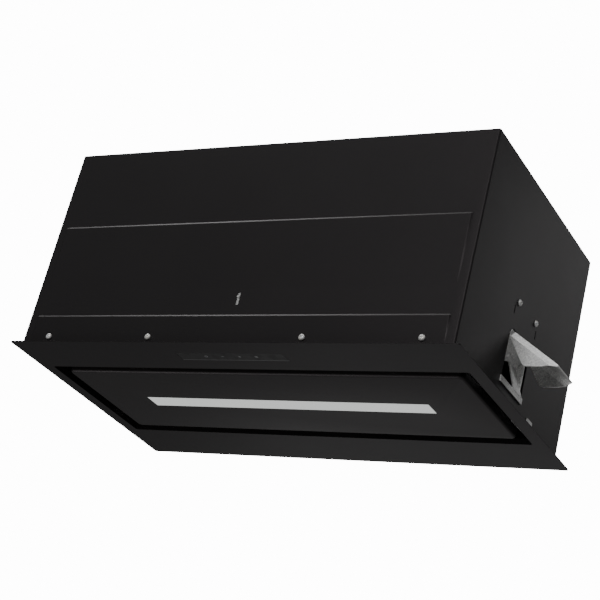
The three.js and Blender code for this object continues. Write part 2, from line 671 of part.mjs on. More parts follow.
// Magnets over the front edge of the steel back plate hold the panel shut
const catchX = [-CATCH_X, CATCH_X];
const catchY = [panel.front + 1, panel.front + CATCH_REACH];
const magnetZ = [plateTop + CLEARANCE, plateTop + CLEARANCE + 4];
const armZ = [magnetZ[1] + CLEARANCE, magnetZ[1] + CLEARANCE + 1.2];

const fittings = new THREE.Group();
catchX.forEach((x, i) => {
  const side = i ? 'right' : 'left';
  const footY = [opening.front - SHEET - CATCH_SETBACK, opening.front - SHEET - 4];
  const foot = block([x - 12, x + 12], footY, [FLANGE_SHEET + CLEARANCE, FLANGE_SHEET + CLEARANCE + 1.2]);
  const riser = block([x - 12, x + 12], [footY[1] - 1.2, footY[1]], [FLANGE_SHEET + CLEARANCE, armZ[1]]);
  const arm = block([x - 12, x + 12], [footY[1] - 1.2, catchY[1]], armZ);
  add(fittings, `catch_bracket_${side}`, join([foot, riser, arm]), 'zinc');
  add(fittings, `catch_magnet_${side}`, block([x - 9, x + 9], [catchY[0], catchY[1]], magnetZ), 'grey');
});

// Pivot brackets inside the upstand, each with its riveted pin and a tab bent over outside the wall
const bracketLeg = { x: panel.right + 3, sheet: 1.5, top: 22 };
const bracketOuter = inner.right - SHEET - CLEARANCE;

function pivotBracket(side) {
  const { x, sheet, top } = bracketLeg;
  const outline = [
    [x, 8], [x + sheet, 8], [x + sheet, top - sheet], [bracketOuter - sheet, top - sheet],
    [bracketOuter - sheet, 8.5], [bracketOuter, 8.5], [bracketOuter, top], [x, top],
  ];
  const body = extrude('y', outline, [bracketTabY - 7.5, hinge.y + 8]);
  const pin = rod('x', PIVOT_RADIUS, [hinge.y, hinge.z], [ear.outer - 4, x + sheet + 0.5], 16);
  const head = rod('x', PIVOT_RADIUS + 2, [hinge.y, hinge.z], [x + sheet - 0.2, x + sheet + 2], 16);
  const [start, end] = [casing.right + CLEARANCE, casing.right + CLEARANCE + BRACKET_TAB.x];
  const bent = block([start, end], [bracketTabY - BRACKET_TAB.y / 2, bracketTabY + BRACKET_TAB.y / 2],
    [BRACKET_TAB_Z - BRACKET_TAB.z / 2, BRACKET_TAB_Z + BRACKET_TAB.z / 2]);
  const right = join([body, pin, head, bracketTab([bracketOuter - sheet, end], 0), bent]);
  return side > 0 ? right : right.mirror([1, 0, 0]);
}
add(fittings, 'pivot_bracket_right', pivotBracket(1), 'zinc');
add(fittings, 'pivot_bracket_left', pivotBracket(-1), 'zinc');

// ---------------------------------------------------------------- filter deck and filters

const filterGroup = new THREE.Group();
const filterSides = [['left', -filter.x], ['right', filter.x]];
const lipZ = [filter.bottom - CLEARANCE - SHEET, filter.bottom - CLEARANCE];
const railBack = filter.back + CLEARANCE + SHEET;
const latchZ = [filter.bottom - CLEARANCE - LATCH_THICKNESS, filter.bottom - CLEARANCE];

/** Deck between the intake chamber and the blower: two filter openings, a rear rail and a keeper. */
function filterDeck() {
  const [x, front, back] = [inner.right, inner.front, inner.back];
  const top = DECK_HEIGHT + DECK_SIDE_FLANGE;
  const pan = cut(block([-x, x], [front, back], [deckUnderside, top]), [
    block([-x + SHEET, x - SHEET], [front + SHEET, back - SHEET], [DECK_HEIGHT, top + 1]),
    block([-x + SHEET, x - SHEET], [front - 1, back + 1], [DECK_HEIGHT + TURNED_EDGE, top + 1]),
  ]);
  const reach = filter.x + FILTER_WIDTH / 2;
  const rail = block([-reach, reach], [filter.back + CLEARANCE, railBack], [lipZ[0], DECK_HEIGHT])
    .add(block([-reach, reach], [filter.back - 8, railBack], lipZ));
  const keeper = block([-reach, reach], [keeperY, keeperY + SHEET], [latchZ[0] - 3, DECK_HEIGHT]);
  const openings = filterSides.map(([, cx]) => block(
    [cx - FILTER_WIDTH / 2 + 8, cx + FILTER_WIDTH / 2 - 8],
    [filter.front + 8, filter.back - 10], [deckUnderside - 1, DECK_HEIGHT + 1]));
  const slots = filterSides.map(([, cx]) => block(
    [cx - LATCH_BOLT / 2 - CLEARANCE, cx + LATCH_BOLT / 2 + CLEARANCE], [keeperY - 1, keeperY + SHEET + 1],
    [latchZ[0] - CLEARANCE, latchZ[1] + CLEARANCE]));
  return cut(join([pan, rail, keeper]), [
    ...openings, ...slots,
    ...holes('x', deckScrews, [-x - 1, x + 1]),
  ]).add(backFixings(1));
}
add(filterGroup, 'filter_deck', filterDeck(), 'paint');

/** Cassette frame: an aluminium ring with a groove all round for the mesh. */
function filterFrame() {
  const [w, d] = [FILTER_WIDTH / 2, filter.depth / 2];
  const border = FILTER_BORDER;
  const outer = block([-w, w], [-d, d], [0, FILTER_THICKNESS]);
  const mouth = block([-w + border, w - border], [-d + border, d - border], [-1, FILTER_THICKNESS + 1]);
  const groove = block([-w + 2, w - 2], [-d + 2, d - 2], [1.2, FILTER_THICKNESS - 1.2]);
  return cut(outer, [mouth, groove]);
}

/** Pleated mesh pack, held in the frame's groove. */
function filterMesh() {
  const [w, d] = [FILTER_WIDTH / 2 - 4, filter.depth / 2 - 4];
  const low = 1.2 + CLEARANCE;
  const high = FILTER_THICKNESS - 1.2 - CLEARANCE;
  const depth = 1.6;
  const edge = (base, sign) => Array.from({ length: 2 * MESH_WAVES + 1 },
    (_, i) => [-w + (i * w) / MESH_WAVES, base + (i % 2 ? sign * depth : 0)]);
  return extrude('y', [...edge(low, 1), ...edge(high, -1).reverse()], [-d, d]);
}

/** Finger latch under the cassette's front border, with a bolt that reaches through the keeper. */
function filterLatch() {
  const height = LATCH_THICKNESS;
  const boltFront = keeperY - LATCH_REACH - filter.y;
  const bodyFront = keeperY + SHEET + 4 - filter.y;
  const body = block([-16, 16], [bodyFront, bodyFront + 14], [0, height]);
  const bolt = block([-LATCH_BOLT / 2, LATCH_BOLT / 2], [boltFront, bodyFront + 1], [0, height]);
  const grip = block([-10, 10], [bodyFront + 5, bodyFront + 9], [-1, height - 1.2]);
  return cut(body.add(bolt), [grip]);
}

filterSides.forEach(([side, x]) => {
  const cassette = new THREE.Group();
  cassette.position.set(x, filter.y, filter.bottom);
  add(cassette, `filter_frame_${side}`, filterFrame(), 'aluminium');
  add(cassette, `filter_mesh_${side}`, filterMesh(), 'aluminium');
  add(cassette, `filter_latch_${side}`, filterLatch(), 'black').position.z = latchZ[0] - filter.bottom;
  filterGroup.add(cassette);
});

// ---------------------------------------------------------------- blower

// Local frame of the blower: x and y in the plane of the scroll, which are +Y and +Z of the hood,
// and z along the shaft, which is +X
const blowerGroup = new THREE.Group();
blowerGroup.position.set(0, blower.y, blower.z);
blowerGroup.setRotationFromMatrix(TURN.x);

/** Outline of the scroll and its outlet, offset outwards by a wall. */
function scrollOutline(wall, top) {
  const points = [[SCROLL_TIGHT * Math.cos(SCROLL_TONGUE) + wall, top]];
  for (let i = 0; i <= SCROLL_STEPS; i += 1) {
    const angle = SCROLL_TONGUE - (SCROLL_SWEEP * i) / SCROLL_STEPS;
    const radius = scrollRadius(angle) + wall;
    points.push([radius * Math.cos(angle), radius * Math.sin(angle)]);
  }
  points.push([-(SCROLL_WIDE + wall), top]);
  return points.reverse();
}

/** One half of the scroll housing: a side wall with its inlet and half of the scroll band. */
function voluteHalf(side) {
  const gap = CLEARANCE / 2;
  const [low, high] = side > 0 ? [gap, volute.side] : [-volute.side, -gap];
  const outer = extrude('z', scrollOutline(VOLUTE_WALL, outletTop), [low, high]);
  const hollowRange = side > 0 ? [low - 1, high - VOLUTE_WALL] : [low + VOLUTE_WALL, high + 1];
  const hollow = extrude('z', scrollOutline(0, outletTop + 1), hollowRange);
  const wall = side > 0 ? [high - VOLUTE_WALL - 1, high + 1] : [low - 1, low + VOLUTE_WALL + 1];
  const shell = cut(outer, [hollow, rod('z', INLET_RADIUS, [0, 0], wall, 36)]);
  return side > 0 ? shell.add(motorScrews()) : shell;
}

function polar(radius, angle) {
  return [radius * Math.cos(angle), radius * Math.sin(angle)];
}

/** Rolled inlet ring: a short neck in the side wall's inlet, flaring out to a bell mouth. */
function inletRing() {
  const steps = 2;
  const throat = INLET_RADIUS - CLEARANCE - INLET_SHEET;
  const quarter = (radius) => Array.from({ length: steps + 1 }, (_, i) => {
    const angle = (Math.PI / 2) * (i / steps);
    return [throat + INLET_FLARE - radius * Math.cos(angle), CLEARANCE + radius * Math.sin(angle)];
  });
  return ring([
    [throat + INLET_SHEET, -VOLUTE_WALL],
    ...quarter(INLET_FLARE - INLET_SHEET),
    ...quarter(INLET_FLARE).reverse(),
    [throat, -VOLUTE_WALL],
  ], 24);
}

/** Double-inlet impeller: forward-curved blades between two end rings and a middle disc. */
function impeller() {
  const half = IMPELLER_LENGTH / 2;
  const innerRadius = IMPELLER_RADIUS - BLADE_DEPTH;
  const disc = rod('z', IMPELLER_RADIUS, [0, 0], [-1, 1], 32);
  const hub = rod('z', 9, [0, 0], [2 - HUB_LENGTH, 2.5], 20);
  const rings = [[-half, -half + 2], [half - 2, half]]
    .map((range) => rod('z', IMPELLER_RADIUS, [0, 0], range, 32)
      .subtract(rod('z', innerRadius, [0, 0], [range[0] - 1, range[1] + 1], 32)));
  const steps = 2;
  const face = (thickness) => Array.from({ length: steps + 1 }, (_, i) => {
    const radius = innerRadius + 0.3 + ((BLADE_DEPTH - 0.6) * i) / steps;
    const lean = BLADE_SWEEP * (i / steps) ** 2 + thickness / radius;
    return polar(radius, lean);
  });
  const blade = extrude('z', [...face(0), ...face(1).reverse()], [-half + 1, half - 1]);
  const blades = Array.from({ length: BLADE_COUNT }, (_, i) => blade.rotate([0, 0, (360 * i) / BLADE_COUNT]));
  const bore = rod('z', SHAFT_RADIUS + CLEARANCE, [0, 0], [-20, 20], 16);
  return join([disc, hub, ...rings, ...blades]).subtract(bore);
}

const motorStart = bracketPlane - CLEARANCE - MOTOR_LENGTH;

/** Motor in the impeller's right half: a finned round body with a bore for the shaft. */
function motorBody() {
  const end = bracketPlane - CLEARANCE;
  const body = turned([
    [0, motorStart], [MOTOR_RADIUS - 6, motorStart], [MOTOR_RADIUS, motorStart + 6],
    [MOTOR_RADIUS, end - 6], [MOTOR_RADIUS - 6, end], [0, end],
  ], 28);
  const bore = [motorStart - 1, motorStart + SHAFT_BORE];
  return body.subtract(rod('z', SHAFT_RADIUS + CLEARANCE, [0, 0], bore, 16));
}

/** Three-armed bracket across the right inlet. */
function motorBracket() {
  const range = [bracketPlane, bracketPlane + BRACKET_SHEET];
  const disc = rod('z', MOTOR_RADIUS - 5, [0, 0], range, 20);
  const arms = MOTOR_ARMS.map((a) => {
    const arm = block([MOTOR_RADIUS - 12, ARM_RADIUS], [-5, 5], range);
    return arm.add(rod('z', 7, [ARM_RADIUS, 0], range, 10)).rotate([0, 0, THREE.MathUtils.radToDeg(a)]);
  });
  const bushHole = (a) => rod('z', 3.2, polar(ARM_RADIUS, a), [range[0] - 1, range[1] + 1], 8);
  return cut(join([disc, ...arms]), MOTOR_ARMS.map(bushHole));
}

/** Rubber bush between one of the bracket's arms and the side wall. */
function motorBush(angle) {
  const low = volute.side + CLEARANCE;
  const seat = bracketPlane + BRACKET_SHEET + 0.6;
  return ring([
    [2.2, low], [5.5, low], [5.5, bracketPlane - CLEARANCE], [2.9, bracketPlane - CLEARANCE],
    [2.9, seat], [2.2, seat],
  ], 10).translate([...polar(ARM_RADIUS, angle), 0]);
}

/** Screws that stand in the side wall and pass through the bushes. */
function motorScrews() {
  const seat = bracketPlane + BRACKET_SHEET + 0.6 + CLEARANCE;
  const low = volute.side - VOLUTE_WALL / 2;
  const screw = turned([[0, low], [1.8, low], [1.8, seat], [5, seat], [5, seat + 1.6], [0, seat + 2.4]], 8);
  return join(MOTOR_ARMS.map((a) => screw.translate([...polar(ARM_RADIUS, a), 0])));
}

add(blowerGroup, 'volute_right', voluteHalf(1), 'grey');
add(blowerGroup, 'volute_left', voluteHalf(-1), 'grey');
add(blowerGroup, 'inlet_ring_right', inletRing().translate([0, 0, volute.side]), 'grey');
add(blowerGroup, 'inlet_ring_left', inletRing().rotate([180, 0, 0]).translate([0, 0, -volute.side]), 'grey');
add(blowerGroup, 'impeller', impeller(), 'black');
const shaftRange = [-HUB_LENGTH, motorStart + SHAFT_BORE - 2];
add(blowerGroup, 'motor_shaft', rod('z', SHAFT_RADIUS, [0, 0], shaftRange, 16), 'bright');
add(blowerGroup, 'motor_body', motorBody(), 'zinc');
add(blowerGroup, 'motor_bracket', motorBracket(), 'zinc');
MOTOR_ARMS.forEach((a, i) => add(blowerGroup, `motor_bush_${i + 1}`, motorBush(a), 'rubber'));

// ---------------------------------------------------------------- duct collar and flaps

const ductGroup = new THREE.Group();
ductGroup.position.set(0, CASING_Y, collarBase);

function ductCollar() {
  const [wall, radius] = [COLLAR_WALL, COLLAR_RADIUS];
  const body = ring([
    [radius - wall, 0], [radius + COLLAR_FLANGE, 0], [radius + COLLAR_FLANGE, wall], [radius, wall],
    [radius, COLLAR_HEIGHT], [radius - wall, COLLAR_HEIGHT],
  ], 32);
  const pinHole = rod('x', PIN_RADIUS + CLEARANCE, [0, FLAP_HEIGHT], [-radius - 1, radius + 1], 12);
  const screwHoles = holes('z', collarScrews.map(([x, y]) => [x, y - CASING_Y]), [-1, wall + 1]);
  return cut(body, [pinHole, ...screwHoles]);
}
add(ductGroup, 'duct_collar', ductCollar(), 'black');
const pinRange = [-COLLAR_RADIUS, COLLAR_RADIUS];
add(ductGroup, 'flap_pin', rod('x', PIN_RADIUS, [0, FLAP_HEIGHT], pinRange, 12), 'bright');

/**
 * Half-round flap with knuckles round the pin, for the back (side 1) or the front (side -1). The
 * front flap is the back one turned half round, so their knuckles stand beside each other.
 */
function flap(side) {
  const radius = COLLAR_RADIUS - COLLAR_WALL - 1;
  const low = FLAP_HEIGHT - PIN_RADIUS - 1.5;
  const edge = PIN_RADIUS + 1.5;
  const disc = rod('z', radius, [0, 0], [low, low + FLAP_SHEET], 28);
  const otherHalf = side > 0 ? [-radius - 1, edge] : [-edge, radius + 1];
  const half = disc.subtract(block([-radius - 1, radius + 1], otherHalf, [low - 1, low + 3]));
  const parts = KNUCKLE_SHARES.flatMap((shares) => {
    const [a, b] = shares.map((share) => side * share * COLLAR_RADIUS).sort((one, other) => one - other);
    const barrel = rod('x', PIN_RADIUS + 1.5, [0, FLAP_HEIGHT], [a, b], 12);
    const y = side > 0 ? [0, edge + 3] : [-edge - 3, 0];
    return [barrel, block([a, b], y, [low, low + FLAP_SHEET])];
  });
  const bore = rod('x', PIN_RADIUS + CLEARANCE, [0, FLAP_HEIGHT], [-radius - 1, radius + 1], 12);
  return join([half, ...parts]).subtract(bore);
}
add(ductGroup, 'flap_back', flap(1), 'grey');
add(ductGroup, 'flap_front', flap(-1), 'grey');

// ---------------------------------------------------------------- electronics

const electrics = new THREE.Group();
const boxTop = inner.top - CLEARANCE;
const boxRange = {
  x: [-inner.right + BOX_INSET.x, -inner.right + BOX_INSET.x + BOX_SIZE.x],
  y: [inner.front + BOX_INSET.y, inner.front + BOX_INSET.y + BOX_SIZE.y],
  z: [boxTop - BOX_SIZE.z, boxTop],
};
/** Box open at the bottom, where its lid clips on. */
function electronicsBox() {
  const { x, y, z } = boxRange;
  const outer = block(x, y, z);
  const hollow = block(inset(x, BOX_WALL), inset(y, BOX_WALL), [z[0] - 1, z[1] - BOX_WALL]);
  return outer.subtract(hollow);
}

function electronicsLid() {
  const { x, y, z } = boxRange;
  const top = z[0] - CLEARANCE;
  const plate = block(x, y, [top - 2, top]);
  const rim = block(inset(x, BOX_WALL + CLEARANCE), inset(y, BOX_WALL + CLEARANCE), [top - 1, top + 4])
    .subtract(block(inset(x, BOX_WALL + 2), inset(y, BOX_WALL + 2), [top - 2, top + 5]));
  return plate.add(rim);
}

function powerBoard() {
  const { x, y, z } = boxRange;
  const floor = z[0] + 4 + CLEARANCE;
  const board = block(inset(x, BOX_WALL + 1), inset(y, BOX_WALL + 1), [floor, floor + 1.6]);
  const top = floor + 1.4;
  const along = ([a, b], shares) => shares.map((share) => THREE.MathUtils.lerp(a, b, share));
  const piece = (xShares, yShares, height) => block(along(x, xShares), along(y, yShares),
    [top, top + height * BOX_SIZE.z]);
  const transformer = piece([0.1, 0.35], [0.2, 0.63], 0.53);
  const relays = [0.45, 0.6, 0.75].map((start) => piece([start, start + 0.11], [0.17, 0.46], 0.33));
  const terminals = piece([0.45, 0.87], [0.71, 0.86], 0.22);
  return join([board, transformer, ...relays, terminals]);
}

/** Motor capacitor hanging by its stud from the top panel. */
function runCapacitor() {
  const top = inner.top - CLEARANCE;
  const r = CAPACITOR_RADIUS;
  return turned([
    [0, top - CAPACITOR_LENGTH], [r - 2, top - CAPACITOR_LENGTH], [r, top - CAPACITOR_LENGTH + 2],
    [r, top - 1], [r - 1, top], [4, top], [4, top + 8], [0, top + 8],
  ], 20).translate([...capacitorPlace, 0]);
}

/** Cable inlet: a gland with a hexagonal nut, its bore open right through. */
function cableGland() {
  const top = casing.top + CLEARANCE;
  const body = ring([
    [GLAND_BORE, top - GLAND_THREAD], [GLAND_RADIUS - 1, top - GLAND_THREAD], [GLAND_RADIUS - 1, top],
    [GLAND_RADIUS + 2, top], [GLAND_RADIUS + 2, top + 4], [GLAND_RADIUS, top + 5],
    [GLAND_RADIUS - 2, top + GLAND_CAP], [GLAND_BORE, top + GLAND_CAP],
  ], 16);
  return body.translate([...glandPlace, 0]);
}

add(electrics, 'electronics_box', electronicsBox(), 'black');
add(electrics, 'electronics_lid', electronicsLid(), 'black');
add(electrics, 'power_board', powerBoard(), 'board');
add(electrics, 'run_capacitor', runCapacitor(), 'white');
add(electrics, 'cable_gland', cableGland(), 'black');

// ---------------------------------------------------------------- spring clips

/** A strip of sheet between two points of the (x, z) plane, along a range of y. */
function strip([x0, z0], [x1, z1], range) {
  const length = Math.hypot(x1 - x0, z1 - z0);
  const [nx, nz] = [(-(z1 - z0) / length) * CLIP_SHEET / 2, ((x1 - x0) / length) * CLIP_SHEET / 2];
  const corners = [[x0 - nx, z0 - nz], [x1 - nx, z1 - nz], [x1 + nx, z1 + nz], [x0 + nx, z0 + nz]];
  return extrude('y', corners, range);
}

/**
 * One clip, pressed from one sheet, round its turning point just over the window's sill. A hook hangs
 * over the sill outside, a tongue with a turned-out edge leans into the casing, the sheet turns back
 * at a knee and rises to the ridge, and a channel-shaped wing slopes down outwards between two cheeks.
 */
function sideClip() {
  const [half, sheet] = [WING_WIDTH / 2, CLIP_SHEET];
  const ridge = { x: 1.2, z: RIDGE_HEIGHT };
  const knee = { x: -KNEE_DEPTH, z: KNEE_HEIGHT };
  const lean = (ridge.x - knee.x) / (ridge.z - knee.z);
  const backEnd = [knee.x - lean * BACK_DROP, knee.z - BACK_DROP];
  const tongueY = [half + 1 - TONGUE_WIDTH, half + 1];
  const back = strip([ridge.x + 0.9, ridge.z - 1.1], backEnd, [-half + 0.6, half + 1]);
  const backOutline = extrude('x', [
    [-half, backEnd[1]], [tongueY[0], knee.z], [half + 2, knee.z], [half + 2, ridge.z], [-half, ridge.z],
  ], [backEnd[0] - sheet, ridge.x + 2]);
  const hookOut = [SHEET / 2 + CLEARANCE, SHEET / 2 + CLEARANCE + sheet];
  const hook = block(hookOut, [-HOOK_WIDTH / 2, HOOK_WIDTH / 2], HOOK_RANGE);
  const root = [hookOut[1] - 0.4, HOOK_RANGE[1] - 0.8];
  const tongue = strip([knee.x, knee.z + 0.5], root, tongueY);
  const edge = extrude('y', [
    [root[0] - 1.2, root[1] + 2], [-0.5, 3], [-0.5, knee.z + 6], [knee.x + 3, knee.z + 6], [knee.x, knee.z],
  ], [half + 1 - sheet, half + 1]);
  return join([wing(ridge), back.intersect(backOutline), tongue, edge, hook, clipStud(lean)]);
}

/** The wing: a channel with bevelled folds, cut to the outline of its cheeks. */
function wing(ridge) {
  const [half, bend, sheet] = [WING_WIDTH / 2, WING_BEND, CLIP_SHEET];
  const fold = sheet * Math.tan(Math.PI / 8);
  const outside = [[-half, -CHEEK_DROP], [-half, -bend], [-half + bend, 0]];
  const inside = [[-half + sheet, -CHEEK_DROP], [-half + sheet, -bend - fold], [-half + bend + fold, -sheet]];
  const across = (points) => [...points, ...points.map(([x, y]) => [-x, y]).reverse()];
  const section = new THREE.Shape([...across(outside), ...across(inside).reverse()]
    .map(([x, y]) => new THREE.Vector2(x, y)));
  const channel = new THREE.ExtrudeGeometry(section, { depth: 2 * WING_REACH, bevelEnabled: false });
  channel.translate(0, 0, -WING_REACH / 4);
  const [c, s] = [Math.cos(WING_SLOPE), Math.sin(WING_SLOPE)];
  channel.applyMatrix4(new THREE.Matrix4().makeBasis(
    new THREE.Vector3(0, 1, 0), new THREE.Vector3(s, 0, c), new THREE.Vector3(c, 0, -s)));
  channel.translate(ridge.x, 0, ridge.z);
  const tip = { x: WING_REACH, z: ridge.z - (WING_REACH - ridge.x) * Math.tan(WING_SLOPE) };
  const low = ridge.z - CHEEK_DROP;
  const side = new THREE.Shape();
  side.moveTo(ridge.x - 2.3, ridge.z + 4);
  side.lineTo(ridge.x + 1, ridge.z + 4);
  side.lineTo(tip.x + 4, tip.z + 2);
  side.lineTo(tip.x + 4, tip.z - 1);
  side.lineTo(tip.x - 17, low);
  side.lineTo(CHEEK_START + 5, low);
  side.quadraticCurveTo(CHEEK_START, low, CHEEK_START - 2, low + 4);
  side.lineTo(ridge.x - 0.6, ridge.z - bend - 1.5);
  side.lineTo(ridge.x - 2.3, ridge.z - 1);
  const oblique = TIP_SKEW * half;
  const plan = extrude('z', [
    [ridge.x - 4, -half - 1],
    [tip.x - oblique, -half - 1],
    [tip.x + oblique, half + 1],
    [ridge.x - 4, half + 1],
  ], [0, ridge.z + 5]);
  return solid(channel).intersect(extrude('y', side, [-half - 1, half + 1])).intersect(plan);
}

/** Head of the rivet in the clip's back, which leans by so much for each millimetre of its height. */
function clipStud(lean) {
  const stud = turned([[0, 0], [3, 0], [2.6, 1.2], [1.4, 2], [0, 2.2]], 10);
  const tilt = Math.atan(lean);
  const out = CLIP_SHEET / 2 - 0.2;
  const rise = 4; // above the knee
  return stud.rotate([0, 90 + THREE.MathUtils.radToDeg(tilt), 0]).translate([
    -KNEE_DEPTH + lean * rise + out * Math.cos(tilt),
    -3.6,
    KNEE_HEIGHT + rise - out * Math.sin(tilt),
  ]);
}

const clips = new THREE.Group();
[['right', 1], ['left', -1]].forEach(([side, sign]) => {
  const group = new THREE.Group();
  group.position.set(sign * clipPivot.x, clipPivot.y, clipPivot.z);
  add(group, `side_clip_${side}`, sign > 0 ? sideClip() : sideClip().mirror([1, 0, 0]), 'zinc');
  clips.add(group);
});

// ---------------------------------------------------------------- the whole hood

const hood = new THREE.Group();
hood.add(casingGroup, controls, panelGroup, fittings, filterGroup, blowerGroup, ductGroup, electrics, clips);

export default hood;
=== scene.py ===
# %% [markdown]
# # A built-in cooker hood, dressed in Blender
# The hood hangs in a kitchen cabinet, so it is mostly a folded steel casing. What the cook sees is
# the underside: a flange, a hinged panel with a strip of light in it, and a dark gap all round the
# panel where the air goes in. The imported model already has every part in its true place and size,
# in metres, so this lesson only refines edges, adds fine parts and gives each surface its finish.

# %% Load the frame
import json
import bpy
import bmesh
import numpy as np
from mathutils import Matrix, Vector


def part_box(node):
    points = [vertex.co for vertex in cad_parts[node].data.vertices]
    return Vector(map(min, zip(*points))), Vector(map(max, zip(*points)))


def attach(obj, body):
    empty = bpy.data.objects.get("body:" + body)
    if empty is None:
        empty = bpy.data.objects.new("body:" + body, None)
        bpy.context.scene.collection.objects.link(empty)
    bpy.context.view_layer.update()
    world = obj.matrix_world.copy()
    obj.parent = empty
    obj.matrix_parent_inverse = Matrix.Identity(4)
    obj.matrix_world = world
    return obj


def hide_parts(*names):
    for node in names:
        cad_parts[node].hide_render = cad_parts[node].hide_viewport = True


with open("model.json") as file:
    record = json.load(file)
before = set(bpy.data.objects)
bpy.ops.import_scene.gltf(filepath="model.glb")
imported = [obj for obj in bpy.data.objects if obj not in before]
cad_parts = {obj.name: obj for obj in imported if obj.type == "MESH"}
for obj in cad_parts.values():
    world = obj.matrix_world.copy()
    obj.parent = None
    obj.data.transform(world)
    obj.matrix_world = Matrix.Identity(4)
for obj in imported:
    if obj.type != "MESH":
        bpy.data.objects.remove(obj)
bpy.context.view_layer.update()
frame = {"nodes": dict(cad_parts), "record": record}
nodes = frame["nodes"]
record = frame["record"]
slot_of = {part["node"]: part["material_slot"] for part in record["subparts"]}
body_of_node = {n: body for body, names in record["behaviour"]["bodies"].items() for n in names}

# %% [markdown]
# ## The camera
# The hood is seen from the front right and from well below, as a cook would who bends down to look
# up at it. The camera is set by where it stands, where it looks and which way is up on the picture,
# so the three directions make the columns of its matrix.

# %% Camera
def camera_at(place, forward, up, lens):
    """A camera at a place, looking along forward. Its matrix has right, up and backward as columns."""
    forward = Vector(forward).normalized()
    right = forward.cross(Vector(up)).normalized()
    true_up = right.cross(forward)
    camera = bpy.data.objects.new("camera", bpy.data.cameras.new("camera"))
    camera.data.lens = lens
    camera.data.sensor_width = 36
    camera.data.clip_end = 60
    turn = Matrix((right, true_up, -forward)).transposed().to_4x4()
    camera.matrix_world = Matrix.Translation(place) @ turn
    bpy.context.scene.collection.objects.link(camera)
    bpy.context.scene.camera = camera
    print("camera at", place, "with a lens of", lens, "mm")


camera_at(place=(0.8797, -1.3333, -0.5824), forward=(-0.5105, 0.7599, 0.4025),
          up=(0.0086, -0.4635, 0.886), lens=97.96)

# %% [markdown]
# ## Writing shaders as sums
# A finish is a small piece of arithmetic on positions: noise here, a mask there. A class that wraps
# a socket and takes over the operators lets a material read like the sum it is. One method, `node`,
# makes any other node, with its settings first and its inputs after.

# %% A socket with operators
class Wire:
    """A shader socket in a tree. +, -, * and / add Math nodes, and numbers may stand on either side."""

    def __init__(self, tree, socket):
        self.tree, self.socket = tree, socket

    def maths(self, operation, *values):
        return node(self.tree, "ShaderNodeMath", {"operation": operation}, *values)

    def __add__(self, other): return self.maths("ADD", self, other)
    def __radd__(self, other): return self.maths("ADD", other, self)
    def __sub__(self, other): return self.maths("SUBTRACT", self, other)
    def __rsub__(self, other): return self.maths("SUBTRACT", other, self)
    def __mul__(self, other): return self.maths("MULTIPLY", self, other)
    def __rmul__(self, other): return self.maths("MULTIPLY", other, self)
    def __truediv__(self, other): return self.maths("DIVIDE", self, other)
    def __rtruediv__(self, other): return self.maths("DIVIDE", other, self)

    def above(self, edge, soft):
        """0 below edge, 1 above it, changing over a width soft."""
        return node(self.tree, "ShaderNodeMapRange", {"clamp": True},
                    Value=self, From_Min=edge - soft / 2, From_Max=edge + soft / 2)

    def mix(self, low, high):
        """A colour that goes from low to high as this goes from 0 to 1."""
        made = node(self.tree, "ShaderNodeMix", {"data_type": "RGBA"}, out=2)
        inputs = made.socket.node.inputs
        plug(self.tree, inputs[0], self)
        plug(self.tree, inputs[6], low)
        plug(self.tree, inputs[7], high)
        return made


def plug(tree, socket, value):
    """Links a Wire to a socket, or sets a number, colour or vector on it."""
    if isinstance(value, Wire):
        tree.links.new(value.socket, socket)
    elif hasattr(socket.default_value, "__len__"):
        value = tuple(value) if hasattr(value, "__len__") else (value,) * 3
        if len(socket.default_value) == 4 and len(value) == 3:
            value += (1.0,)
        socket.default_value = value
    else:
        socket.default_value = value


def node(tree, kind, settings, *values, out=0, **named):
    """Makes a node: its settings first, then its inputs by order or by name, and returns an output."""
    made = tree.nodes.new(kind)
    for key, setting in settings.items():
        setattr(made, key, setting)
    for i, value in enumerate(values):
        plug(tree, made.inputs[i], value)
    for key, value in named.items():
        plug(tree, made.inputs[key.replace("_", " ")], value)
    return Wire(tree, made.outputs[out])


print("a wire adds, subtracts, multiplies, divides, steps and mixes")

# %% [markdown]
# ## A finish under construction
# Every finish starts from the same three things: a Principled shader, the position on the piece, and
# some noise. One class holds them, so that a material's own function says only what is special to it.
# Position is the piece's own, so the grain stays on a part when it moves.

# %% A finish
class Finish:
    """A material under construction, with its Principled shader and the position on the piece."""

    def __init__(self, name, **even):
        self.material = bpy.data.materials.new(name)
        self.material.use_nodes = True
        self.tree = self.material.node_tree
        self.shader = self.tree.nodes["Principled BSDF"]
        self.place = self.node("ShaderNodeTexCoord", {}, out=3)
        self.even(**even)

    def node(self, kind, settings, *values, **named):
        return node(self.tree, kind, settings, *values, **named)

    def even(self, **sockets):
        """Sets sockets that are the same all over the surface."""
        for key, value in sockets.items():
            plug(self.tree, self.shader.inputs[key.replace("_", " ")], value)

    def noise(self, scale, detail=2.0, rough=0.5):
        """Cloudy noise from 0 to 1; scale is in features per metre."""
        return self.node("ShaderNodeTexNoise", {}, Vector=self.place,
                         Scale=scale, Detail=detail, Roughness=rough)

    def stretched(self, x, y, z):
        """The position with each axis multiplied, for streaks and brushing."""
        return self.node("ShaderNodeVectorMath", {"operation": "MULTIPLY"}, self.place, (x, y, z))

    def colour(self, wire):
        plug(self.tree, self.shader.inputs["Base Color"], wire)

    def rough(self, wire):
        plug(self.tree, self.shader.inputs["Roughness"], wire)

    def bump(self, height, strength, distance):
        """Relief from a height; distance is the depth in metres of a height of 1."""
        relief = self.node("ShaderNodeBump", {}, Height=height, Strength=strength, Distance=distance)
        plug(self.tree, self.shader.inputs["Normal"], relief)


finishes = {}
print("a finish takes colour, gloss and relief")

